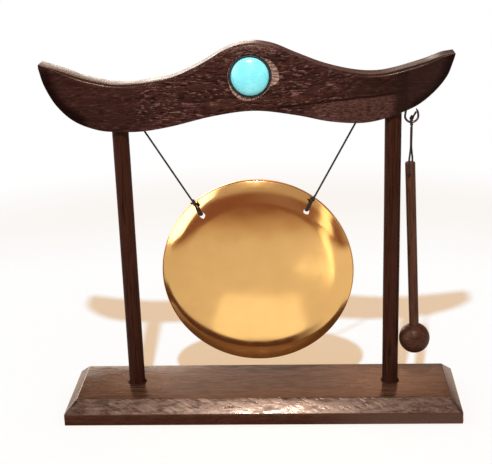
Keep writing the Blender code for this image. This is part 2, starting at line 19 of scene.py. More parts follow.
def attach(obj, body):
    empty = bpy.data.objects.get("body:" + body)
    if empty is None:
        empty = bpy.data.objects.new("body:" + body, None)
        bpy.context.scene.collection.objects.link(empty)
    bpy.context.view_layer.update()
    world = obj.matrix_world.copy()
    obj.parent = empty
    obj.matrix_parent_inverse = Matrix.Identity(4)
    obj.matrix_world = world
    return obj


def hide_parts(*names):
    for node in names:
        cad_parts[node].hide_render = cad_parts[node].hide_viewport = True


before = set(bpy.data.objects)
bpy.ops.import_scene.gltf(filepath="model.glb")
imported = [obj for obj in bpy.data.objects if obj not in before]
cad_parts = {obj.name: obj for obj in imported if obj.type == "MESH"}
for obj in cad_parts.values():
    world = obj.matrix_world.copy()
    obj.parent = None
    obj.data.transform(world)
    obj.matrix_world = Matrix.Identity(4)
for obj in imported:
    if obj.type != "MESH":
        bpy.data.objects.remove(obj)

Triple = tuple[float, float, float]
Pair = tuple[float, float]
Rgb = Triple
Solid = bpy.types.Object
Wobble = Callable[[float, float], float]

LOG = logging.getLogger("tam_tam")
QUARTER = 0.5 * math.pi
PER_RADIAN = 57.2958
UP = Vector((0.0, 0.0, 1.0))
WHITE: Rgb = (1.0, 1.0, 1.0)

# Sizes and places in metres that more than one piece needs.
GAP = 0.0003
POST_X = 0.0693
POST_TOP = 0.1687
SOCKET_RADIUS = 0.0046
MOUTHS: tuple[Triple, Triple] = ((-0.05760, 0.0, 0.15596), (0.05100, 0.0, 0.15821))
STONE: Pair = (-0.002, 0.1830)
BEAM_THICKNESS = 0.012
RECESS_DEPTH = 0.004
SHANK: Triple = (0.0758, 0.0, 0.16432)
SHANK_LENGTH = 0.008
HOOK_CENTRE: Triple = (0.0785, 0.0, 0.16012)
WIRE_RADIUS = 0.00056
MALLET_PIVOT: Triple = (0.0784, 0.0, 0.12982)
CROSS_WAY = Vector((math.sin(math.radians(20.0)), math.cos(math.radians(20.0)), 0.0))
STICK_RADIUS = 0.0026


class Body(Enum):
    """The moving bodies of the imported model."""

    STAND = "stand"
    CORDS = "gong_cords"
    GONG = "gong"
    HITCH = "hitch"
    STRANDS = "mallet_strands"
    MALLET = "mallet"


class Slot(Enum):
    """The record's material slots."""

    STAND_WOOD = "stand_wood"
    POST_WOOD = "post_wood"
    MALLET_WOOD = "mallet_wood"
    BRASS = "brass"
    TURQUOISE = "turquoise"
    RESIN = "resin"
    CORD = "cord"
    BRONZE = "bronze"


class Grain(Enum):
    """The way that a board's or dowel's grain runs."""

    ALONG_X = "x"
    ALONG_Z = "z"

    def stretch(self, along: float, across: float) -> Triple:
        """Return a pattern's scale per millimetre, along and across the grain."""
        return (along, across, across) if self is Grain.ALONG_X else (across, across, along)


# ---------------------------------------------------------------- shaping tools


def spread(first: float, last: float, count: int) -> list[float]:
    """Return count + 1 evenly spaced values from first to last."""
    return [first + (last - first) * k / count for k in range(count + 1)]


def lumps(turn: float, size: float, level: float) -> float:
    """Return smooth noise at a turn round an axis and a level along it."""
    return noise.noise(Vector((math.cos(turn) * size, math.sin(turn) * size, level)))


def smooth_path(points: Sequence[Triple | Vector], steps: int) -> list[Vector]:
    """Read a smooth curve through points.

    Args:
        points: the places that the curve passes through.
        steps: how many points to read for each span.

    Returns:
        The curve's points, both ends included.
    """
    knots = [Vector(p) for p in points]
    knots = [knots[0] * 2 - knots[1]] + knots + [knots[-1] * 2 - knots[-2]]
    path = []
    for a, b, c, d in zip(knots, knots[1:], knots[2:], knots[3:]):
        for k in range(steps):
            t = k / steps
            path.append(0.5 * (2 * b + (c - a) * t + (2 * a - 5 * b + 4 * c - d) * t * t
                               + (3 * b - a - 3 * c + d) * t * t * t))
    path.append(knots[-2])
    return path


def even_path(points: Sequence[Triple | Vector], spacing: float) -> list[Vector]:
    """Read a smooth curve through points at an even spacing.

    Args:
        points: the places that the curve passes through.
        spacing: the wanted distance between the points that are read.

    Returns:
        Evenly spaced points on the curve, both ends included.
    """
    dense = smooth_path(points, 24)
    reach = [0.0]
    for a, b in zip(dense, dense[1:]):
        reach.append(reach[-1] + (b - a).length)
    count = max(2, math.ceil(reach[-1] / spacing))
    path = []
    at = 0
    for k in range(count + 1):
        wanted = reach[-1] * k / count
        while at < len(dense) - 2 and reach[at + 1] < wanted:
            at += 1
        span = max(reach[at + 1] - reach[at], 1e-12)
        path.append(dense[at].lerp(dense[at + 1], min(1.0, (wanted - reach[at]) / span)))
    return path


def path_length(path: Sequence[Vector]) -> float:
    """Return the length of a path."""
    return sum((b - a).length for a, b in zip(path, path[1:]))


def along(start: Vector, towards: Vector) -> Matrix:
    """Return the frame whose origin is start and whose local Z runs towards a point."""
    direction = (Vector(towards) - Vector(start)).normalized()
    return Matrix.Translation(Vector(start)) @ direction.to_track_quat("Z", "Y").to_matrix().to_4x4()


def linked(name: str, data: bpy.types.ID, place: Matrix = Matrix.Identity(4)) -> Solid:
    """Put a mesh, a camera or a lamp into the scene.

    Args:
        name: the object's name.
        data: the mesh, camera or lamp.
        place: the object's own frame.

    Returns:
        The new object.
    """
    made = bpy.data.objects.new(name, data)
    made.matrix_world = place
    bpy.context.scene.collection.objects.link(made)
    return made


def smoothed(mesh: bpy.types.Mesh, crease: float) -> None:
    """Shade a mesh smooth, but for edges sharper than an angle in degrees."""
    mesh.shade_smooth()
    mesh.set_sharp_from_angle(angle=math.radians(crease))


def to_object(name: str, bm: bmesh.types.BMesh, crease: float = 35.0) -> Solid:
    """Turn a bmesh into an object of the scene, smooth but for its creases.

    Args:
        name: the object's name.
        bm: the shape, which is used up.
        crease: the angle in degrees above which an edge stays sharp.

    Returns:
        The new object.
    """
    bmesh.ops.recalc_face_normals(bm, faces=bm.faces[:])
    mesh = bpy.data.meshes.new(name)
    bm.to_mesh(mesh)
    bm.free()
    smoothed(mesh, crease)
    return linked(name, mesh)


def skinned(rings: Sequence[Sequence[Triple | Vector]], looped: bool = False) -> bmesh.types.BMesh:
    """Join rings of places with faces.

    Args:
        rings: rings of equal size; a ring of one place is a point.
        looped: whether the last ring joins the first, and neither is capped.

    Returns:
        The closed shape.
    """
    bm = bmesh.new()
    made = [[bm.verts.new(place) for place in ring] for ring in rings]
    for one, two in zip(made, made[1:] + made[:looped]):
        count = max(len(one), len(two))
        for k in range(count):
            after = (k + 1) % count
            if len(one) == 1:
                bm.faces.new((one[0], two[k], two[after]))
            elif len(two) == 1:
                bm.faces.new((one[k], one[after], two[0]))
            else:
                bm.faces.new((one[k], one[after], two[after], two[k]))
    for ring in () if looped else (made[0], made[-1]):
        if len(ring) > 1:
            bm.faces.new(ring)
    return bm


def turned_mesh(profile: Sequence[Pair], segments: int, place: Matrix = Matrix.Identity(4),
                wobble: Wobble = lambda turn, height: 0.0, looped: bool = False) -> bmesh.types.BMesh:
    """Turn a profile about its axis.

    Args:
        profile: (radius, height) pairs from one end to the other.
        segments: how many corners each ring has.
        place: the frame whose Z is the axis.
        wobble: adds to the radius, from the turn in radians and the height.
        looped: whether the profile closes on itself, off the axis.

    Returns:
        The closed shape.
    """
    rings = []
    for radius, height in profile:
        if radius < 1e-7:
            rings.append([(0.0, 0.0, height)])
            continue
        ring = []
        for turn in spread(0.0, 2.0 * math.pi, segments)[:-1]:
            r = radius + wobble(turn, height)
            ring.append((r * math.cos(turn), r * math.sin(turn), height))
        rings.append(ring)
    bm = skinned(rings, looped)
    bmesh.ops.transform(bm, matrix=place, verts=bm.verts[:])
    return bm


def turned(name: str, *shape: object) -> Solid:
    """Turn a profile about its axis, as turned_mesh does, into an object."""
    return to_object(name, turned_mesh(*shape))


def rod(name: str, start: Vector, end: Vector, radius: float, segments: int = 48) -> Solid:
    """Return a round bar between two points."""
    return turned(name, ((radius, 0.0), (radius, (end - start).length)), segments, along(start, end))


def carry_frames(path: Sequence[Vector]) -> list[tuple[Vector, Vector]]:
    """Carry two directions along a path without twist.

    Args:
        path: the points of the path.

    Returns:
        The two directions across the path at each point.
    """
    last = len(path) - 1
    ways = [(path[min(k + 1, last)] - path[max(k - 1, 0)]).normalized() for k in range(last + 1)]
    side = ways[0].orthogonal().normalized()
    frames = []
    for k, way in enumerate(ways):
        if k:
            side = ways[k - 1].rotation_difference(way) @ side
        side = (side - way * side.dot(way)).normalized()
        frames.append((side, way.cross(side)))
    return frames


def swept(name: str, path: Sequence[Vector], radius: Callable[[int, float], float], segments: int) -> Solid:
    """Sweep a closed section along a path.

    Args:
        name: the object's name.
        path: the points of the centreline.
        radius: the section's radius from the point's number and the turn in radians.
        segments: how many corners the section has.

    Returns:
        The closed tube.
    """
    rings = [[point + radius(k, turn) * (side * math.cos(turn) + up * math.sin(turn))
              for turn in spread(0.0, 2.0 * math.pi, segments)[:-1]]
             for k, (point, (side, up)) in enumerate(zip(path, carry_frames(path)))]
    return to_object(name, skinned(rings), 60.0)


def bake_shape(piece: Solid) -> None:
    """Turn a piece's modifiers into its mesh.

    Args:
        piece: the piece with its modifiers.
    """
    shape = bpy.data.meshes.new_from_object(piece.evaluated_get(bpy.context.evaluated_depsgraph_get()))
    old = piece.data
    piece.modifiers.clear()
    piece.data = shape
    bpy.data.meshes.remove(old)
    shape.name = piece.name


def cut_away(piece: Solid, tools: Sequence[Solid], crease: float = 35.0) -> Solid:
    """Cut closed tools out of a piece and throw the tools away.

    Args:
        piece: what is cut.
        tools: the closed shapes that are cut out of it.
        crease: the angle in degrees above which an edge stays sharp.

    Returns:
        The same piece.
    """
    for tool in tools:
        step = piece.modifiers.new(tool.name, "BOOLEAN")
        step.operation = "DIFFERENCE"
        step.solver = "EXACT"
        step.object = tool
    bake_shape(piece)
    for tool in tools:
        bpy.data.objects.remove(tool, do_unlink=True)
    smoothed(piece.data, crease)
    return piece


def joined(name: str, pieces: Sequence[Solid]) -> Solid:
    """Join several shapes into one object.

    Args:
        name: the joined object's name.
        pieces: the objects, which are used up.

    Returns:
        The joined object.
    """
    bm = bmesh.new()
    for piece in pieces:
        bm.from_mesh(piece.data)
        bpy.data.objects.remove(piece, do_unlink=True)
    return to_object(name, bm, 60.0)


def settle(piece: Solid, body: Body, slot: Slot, finish: bpy.types.Material, *nodes: str) -> Solid:
    """Dress a piece and fasten it to the model.

    Args:
        piece: the finished shape.
        body: the body that it rides on.
        slot: the record's slot that its finish belongs to; not used.
        finish: its material.
        nodes: the CAD nodes that it stands for.

    Returns:
        The same piece.
    """
    dress(piece, finish)
    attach(piece, body.value)
    if nodes:
        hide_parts(*nodes)
    LOG.info("%s rides on %s, %d faces", piece.name, body.value, len(piece.data.polygons))
    return piece


def dress(piece: Solid, finish: bpy.types.Material) -> None:
    """Give a piece its one material."""
    piece.data.materials.clear()
    piece.data.materials.append(finish)


# ---------------------------------------------------------------- finishing tools


class Value:
    """A number, vector, colour or shader that runs through a recipe's nodes."""

    def __init__(self, recipe: "Recipe", socket: bpy.types.NodeSocket) -> None:
        """Take the recipe that further nodes go into, and the socket that gives the value."""
        self.recipe, self.socket = recipe, socket

    def __add__(self, other: object) -> "Value":
        """Return the sum."""
        return self.recipe.sums("ADD", self, other)

    def __sub__(self, other: object) -> "Value":
        """Return the difference."""
        return self.recipe.sums("SUBTRACT", self, other)

    def __rsub__(self, other: object) -> "Value":
        """Return the difference from a plain number."""
        return self.recipe.sums("SUBTRACT", other, self)

    def __mul__(self, other: object) -> "Value":
        """Return the product."""
        return self.recipe.sums("MULTIPLY", self, other)

    def __truediv__(self, other: object) -> "Value":
        """Return the quotient."""
        return self.recipe.sums("DIVIDE", self, other)

    def __abs__(self) -> "Value":
        """Return the value without its sign."""
        return self.recipe.sums("ABSOLUTE", self)

    def at_least(self, other: object) -> "Value":
        """Return the greater of two values."""
        return self.recipe.sums("MAXIMUM", self, other)

    def rise(self, low: float, high: float, start: float = 0.0, end: float = 1.0) -> "Value":
        """Step smoothly from start to end as the value goes from low to high.

        Args:
            low: where the step starts, which may lie above its end.
            high: where it ends.
            start: the result before the step.
            end: the result after it.

        Returns:
            The result.
        """
        if low > high:
            low, high, start, end = high, low, end, start
        return self.recipe.node("MapRange", {"Value": self, "From Min": low, "From Max": high, "To Min": start,
                                             "To Max": end}, interpolation_type="SMOOTHSTEP")

    def within(self, low: float, high: float, soft: float) -> "Value":
        """Return 1 where the value lies between two limits, with soft borders."""
        return self.rise(low - soft, low + soft) * self.rise(high + soft, high - soft)


class Recipe:
    """The nodes of one material or of the world, written as short calls."""

    def __init__(self, owner: bpy.types.Material | bpy.types.World) -> None:
        """Take the material or the world that the nodes belong to."""
        owner.use_nodes = True
        self.owner, self.tree = owner, owner.node_tree

    def feed(self, name: str, values: dict) -> bpy.types.ID:
        """Feed inputs of a shader that the tree starts with.

        Args:
            name: the shader's name.
            values: a value for each input's name.

        Returns:
            The finished material or world.
        """
        for key, value in values.items():
            self.set(self.tree.nodes[name].inputs[key], value)
        return self.owner

    def set(self, socket: bpy.types.NodeSocket, value: object) -> None:
        """Link a socket to a value, or set its plain value.

        Args:
            socket: the input that is fed.
            value: what it is fed with, a colour without its fourth number.
        """
        if isinstance(value, Value):
            self.tree.links.new(value.socket, socket)
        else:
            socket.default_value = (*value, 1.0) if socket.type == "RGBA" else value

    def node(self, kind: str, inputs: dict | None = None, out: int | str = 0, **settings: object) -> Value:
        """Add a node.

        Args:
            kind: the node's type without its ShaderNode prefix.
            inputs: a value for each named or numbered input.
            out: which of its outputs is wanted.
            settings: the node's own settings.

        Returns:
            The wanted output.
        """
        made = self.tree.nodes.new("ShaderNode" + kind)
        for key, value in settings.items():
            setattr(made, key, value)
        for key, value in (inputs or {}).items():
            self.set(made.inputs[key], value)
        return Value(self, made.outputs[out])

    def ray(self, kind: str) -> Value:
        """Return 1 for rays of a kind: Camera, Glossy or Transmission."""
        return self.node("LightPath", out=f"Is {kind} Ray")

    def place(self, scale: float | Triple = 1.0, turn: Triple = (0.0, 0.0, 0.0),
              shift: Triple = (0.0, 0.0, 0.0)) -> Value:
        """Read the piece's own place in millimetres.

        Args:
            scale: what the place is multiplied with, the same for all three ways or one for each.
            turn: how far it is then turned, in radians.
            shift: what is added last.

        Returns:
            The place.
        """
        size = tuple(1000.0 * s for s in (scale if isinstance(scale, tuple) else (scale,) * 3))
        return self.node("Mapping", {"Vector": self.node("TexCoord", out="Object"), "Scale": size, "Rotation": turn,
                                     "Location": shift})

    def sums(self, kind: str, *values: object) -> Value:
        """Return a Math node's result."""
        return self.node("Math", dict(enumerate(values)), operation=kind)

    def vector(self, kind: str, a: object, b: object = (0.0, 0.0, 0.0), out: int = 0) -> Value:
        """Return a Vector Math node's vector, or with out=1 its number."""
        return self.node("VectorMath", {0: a, 1: b}, out, operation=kind)

    def scaled(self, colour: Rgb, gain: Value) -> Value:
        """Return a colour times a number."""
        return self.node("VectorMath", {0: colour, "Scale": gain}, operation="SCALE")

    def parts(self, vector: Value) -> list[Value]:
        """Return the x, y and z of a vector."""
        return [self.node("SeparateXYZ", {0: vector}, out) for out in range(3)]

    def polar(self, x: float, z: float) -> tuple[Value, Value]:
        """Return the distance in millimetres and the turn in radians round a line from front to back."""
        across, _, up = self.parts(self.place(shift=(-x, 0.0, -z)))
        return self.sums("SQRT", across * across + up * up), self.sums("ARCTAN2", up, across)

    def noise(self, place: Value, detail: float = 3.0, rough: float = 0.5, bend: float = 0.0) -> Value:
        """Return a noise pattern, mostly between 0.3 and 0.7."""
        return self.node("TexNoise", {"Vector": place, "Scale": 1.0, "Detail": detail, "Roughness": rough,
                                      "Distortion": bend})

    def spots(self, scale: float | Triple, detail: float = 3.0, rough: float = 0.5, bend: float = 0.0,
              turn: Triple = (0.0, 0.0, 0.0), shift: Triple = (0.0, 0.0, 0.0)) -> Value:
        """Return a noise pattern over the piece, with the arguments of place and noise."""
        return self.noise(self.place(scale, turn, shift), detail, rough, bend)

    def layers(self, colour: object, *paints: tuple[object, object]) -> Value:
        """Lay paints over a colour.

        Args:
            colour: the colour under them.
            paints: each paint's share and its colour.

        Returns:
            The colour on top.
        """
        for share, paint in paints:
            colour = self.node("Mix", {0: share, 6: colour, 7: paint}, 2, data_type="RGBA", clamp_result=False)
        return colour

    def bump(self, height: Value, depth: float, strength: float = 1.0, **over: Value) -> Value:
        """Return the normal of a relief of a depth in metres, over the one given as Normal."""
        return self.node("Bump", {"Height": height, "Distance": depth, "Strength": strength, **over})

    def glow(self, colour: object) -> Value:
        """Return a shader that shines in a colour."""
        return self.node("Emission", {"Color": colour, "Strength": 1.0})

    def blend(self, share: Value, a: Value, b: Value) -> Value:
        """Return a mix of two shaders."""
        return self.node("MixShader", {0: share, 1: a, 2: b})


# ---------------------------------------------------------------- finishes


@dataclass(frozen=True)
class StainedWood:
    """Open-grained wood under brown stain and a thin satin lacquer."""

    name: str
    grain: Grain
    ground: Rgb
    dark: Rgb
    fleck: Rgb
    roughness: float
    gloss: float
    fleck_share: float
    dashes: Pair
    waviness: float
    pore_depth: float
    sheen: Rgb = (1.0, 0.70, 0.54)

    def pattern(self, recipe: Recipe, lift: object, busy: object) -> tuple[Value, Value]:
        """Lay out the wood's long grain and its short pale and dark dashes.

        Args:
            recipe: the material's recipe.
            lift: how far the grain is shifted across itself, in millimetres.
            busy: how strong the dashes are, from 0 to 1.

        Returns:
            The wood's colour and its height.
        """
        sway = recipe.spots(self.grain.stretch(0.045, 0.09), 1.0)
        shift = (sway - 0.5) * (7.0 * self.waviness) + lift
        moved = {0: 0.0, 1: shift, 2: shift} if self.grain is Grain.ALONG_X else {0: shift, 1: shift, 2: 0.0}
        bent = recipe.vector("ADD", recipe.place(), recipe.node("CombineXYZ", moved))

        def read(length: float, width: float, detail: float = 2.0, rough: float = 0.6) -> Value:
            """Return noise that is drawn out along the bent grain."""
            scaled = recipe.vector("MULTIPLY", bent, self.grain.stretch(length, width))
            return recipe.noise(scaled, detail, rough)

        bands = read(0.012, 0.22, 3.0, 0.55).rise(0.34, 0.66)
        lines = read(0.035, 1.5, 3.0).rise(0.36, 0.62)
        length, width = self.dashes
        pale = read(length, width).rise(0.535, 0.64)
        clumps = read(length * 0.38, width * 0.28, 2.0, 0.5).rise(0.38, 0.60, 0.25, 1.0)
        deep = read(length * 0.8, width * 1.2).rise(0.46, 0.37) * (busy * 0.45 + 0.4)
        colour = recipe.layers(self.dark, (lines * 0.55 + bands * 0.45, self.ground), (busy * -0.3 + 0.3, self.dark),
                               (pale * clumps * (busy * self.fleck_share), self.fleck),
                               (deep, tuple(0.4 * c for c in self.dark)))
        return colour, lines * 0.35 - deep

    def make(self, trim: Callable[[Recipe, Value, Value], tuple[Value, Value]] | None = None,
             flow: Callable[[Recipe], tuple[object, object]] = lambda recipe: (0.0, 1.0),
             rub: Callable[[Recipe], object] = lambda recipe: 0.0) -> bpy.types.Material:
        """Build the material.

        Args:
            trim: changes the colour and height where a piece has marks of its own.
            flow: returns the grain's shift and its busyness.
            rub: returns what is added to the roughness where the lacquer is duller.

        Returns:
            The material.
        """
        recipe = Recipe(bpy.data.materials.new(self.name))
        colour, height = self.pattern(recipe, *flow(recipe))
        if trim is not None:
            colour, height = trim(recipe, colour, height)
        smudge = recipe.spots(self.grain.stretch(0.12, 0.5))
        rough = smudge.rise(0.3, 0.7, self.roughness - 0.07, self.roughness + 0.09) + rub(recipe)
        return recipe.feed("Principled BSDF", {
            "Base Color": colour, "Roughness": rough, "Specular IOR Level": self.gloss,
            "Specular Tint": self.sheen, "Normal": recipe.bump(height, self.pore_depth)})


@dataclass(frozen=True)
class SatinBrass:
    """Spun brass sheet, satin rubbed, a little darker and rougher in soft clouds."""

    name: str = "satin_brass"
    bright: Rgb = (0.83, 0.490, 0.165)
    toned: Rgb = (0.80, 0.465, 0.155)
    speck: Rgb = (0.45, 0.22, 0.07)
    roughness: float = 0.125
    centre: Pair = (-1.3, 75.6)

    def make(self) -> bpy.types.Material:
        """Build the material.

        Returns:
            The material.
        """
        recipe = Recipe(bpy.data.materials.new(self.name))
        colour = recipe.layers(self.toned, (recipe.spots(0.06, 4.0, 0.55).rise(0.35, 0.65), self.bright),
                               (recipe.spots(1.6, 2.0).rise(0.62, 0.74, 0.0, 0.16), self.speck))
        smudge = recipe.spots(0.11, shift=(5.0, 3.0, 1.0))
        rings = recipe.noise(recipe.node("CombineXYZ", {0: recipe.polar(*self.centre)[0] * 2.6}), 3.0, 0.7)
        return recipe.feed("Principled BSDF", {
            "Base Color": colour, "Metallic": 1.0,
            "Roughness": smudge.rise(0.3, 0.7, self.roughness - 0.015, self.roughness + 0.03),
            "Normal": recipe.bump(recipe.spots(5.0, 2.0), 0.000002, 0.35, Normal=recipe.bump(rings, 0.000004, 0.5))})


@dataclass(frozen=True)
class Turquoise:
    """Polished turquoise with paler clouds and faint veins."""

    name: str = "turquoise"
    body: Rgb = (0.21, 0.76, 0.82)
    pale: Rgb = (0.27, 0.82, 0.87)
    vein: Rgb = (0.13, 0.55, 0.58)

    def make(self) -> bpy.types.Material:
        """Build the material.

        Returns:
            The material.
        """
        recipe = Recipe(bpy.data.materials.new(self.name))
        clouds = recipe.spots(0.22, bend=0.4)
        threads = abs(recipe.spots(0.3, 4.0, 0.6, shift=(3.0, 8.0, 1.0)) - 0.5)
        grit = recipe.spots(2.4)
        colour = recipe.layers(self.body, (clouds.rise(0.4, 0.66), self.pale),
                               (threads.rise(0.012, 0.0, 0.0, 0.35), self.vein))
        return recipe.feed("Principled BSDF", {"Base Color": colour, "Roughness": grit.rise(0.3, 0.7, 0.20, 0.32),
                                               "Normal": recipe.bump(grit, 0.000012, 0.5)})


@dataclass(frozen=True)
class Speckled:
    """A plain finish that one noise pattern speckles, roughens and embosses.

    The specks start at the first number of specks and are full at the second, with the third as their share.
    """

    name: str
    body: Rgb
    speck: Rgb
    scale: float | Triple
    detail: float
    rough: float
    specks: Triple
    roughness: Pair
    depth: float
    strength: float
    others: tuple[tuple[str, float], ...] = ()

    def make(self) -> bpy.types.Material:
        """Build the material.

        Returns:
            The material.
        """
        recipe = Recipe(bpy.data.materials.new(self.name))
        pattern = recipe.spots(self.scale, self.detail, self.rough)
        low, high, most = self.specks
        return recipe.feed("Principled BSDF", {
            "Base Color": recipe.layers(self.body, (pattern.rise(low, high, 0.0, most), self.speck)),
            "Roughness": pattern.rise(0.3, 0.7, *self.roughness),
            "Normal": recipe.bump(pattern, self.depth, self.strength), **dict(self.others)})


STAND_WOOD = StainedWood(
    "stand_wood", Grain.ALONG_X, ground=(0.054, 0.0185, 0.0130), dark=(0.017, 0.0056, 0.0042),
    fleck=(0.180, 0.084, 0.070), roughness=0.28, gloss=0.10, fleck_share=0.95, dashes=(0.26, 1.25), waviness=0.8,
    pore_depth=0.00001)
BASE_WOOD = StainedWood(
    "base_wood", Grain.ALONG_X, ground=(0.086, 0.037, 0.021), dark=(0.036, 0.0140, 0.0080),
    fleck=(0.165, 0.083, 0.050), roughness=0.16, gloss=0.6, fleck_share=0.55, dashes=(0.12, 1.7), waviness=0.3,
    pore_depth=0.000006)
POST_WOOD = StainedWood(
    "post_wood", Grain.ALONG_Z, ground=(0.045, 0.0135, 0.0075), dark=(0.030, 0.0088, 0.0048),
    fleck=(0.075, 0.028, 0.017), roughness=0.36, gloss=0.06, fleck_share=0.25, dashes=(0.06, 1.2), waviness=0.15,
    pore_depth=0.00002)
MALLET_WOOD = replace(
    POST_WOOD, name="mallet_wood", ground=(0.086, 0.033, 0.018), dark=(0.052, 0.018, 0.010),
    fleck=(0.150, 0.065, 0.040), gloss=0.15, fleck_share=0.30, dashes=(0.08, 1.4), waviness=0.2)
HEAD_WOOD = replace(
    MALLET_WOOD, name="head_wood", grain=Grain.ALONG_X, ground=(0.066, 0.0245, 0.0130),
    dark=(0.040, 0.0135, 0.0075), fleck=(0.115, 0.048, 0.030), dashes=(0.10, 1.2), waviness=0.4)
SETTING_RESIN = Speckled(
    "setting_resin", body=(0.012, 0.022, 0.020), speck=(0.09, 0.10, 0.085), scale=1.7, detail=3.0, rough=0.65,
    specks=(0.60, 0.70, 1.0), roughness=(0.24, 0.54), depth=0.00005, strength=0.6)
FOOT_GLUE = replace(
    SETTING_RESIN, name="foot_glue", body=(0.022, 0.008, 0.005), speck=(0.080, 0.040, 0.026),
    roughness=(0.50, 0.80), others=(("Specular IOR Level", 0.04),))
TWISTED_CORD = Speckled(
    "twisted_cord", body=(0.013, 0.008, 0.007), speck=(0.045, 0.030, 0.026), scale=(5.0, 5.0, 2.5), detail=3.0,
    rough=0.7, specks=(0.42, 0.68, 1.0), roughness=(0.62, 0.86), depth=0.00005, strength=0.8,
    others=(("Specular IOR Level", 0.15), ("Sheen Weight", 0.06), ("Sheen Roughness", 0.5)))
MALLET_CORD = replace(TWISTED_CORD, name="mallet_cord_wax", body=(0.018, 0.010, 0.008), speck=(0.052, 0.034, 0.028))
BRONZED_WIRE = Speckled(
    "bronzed_wire", body=(0.075, 0.048, 0.044), speck=(0.22, 0.13, 0.10), scale=0.8, detail=4.0, rough=0.6,
    specks=(0.52, 0.68, 0.8), roughness=(0.42, 0.26), depth=0.00002, strength=0.5, others=(("Metallic", 0.85),))


# ---------------------------------------------------------------- studio


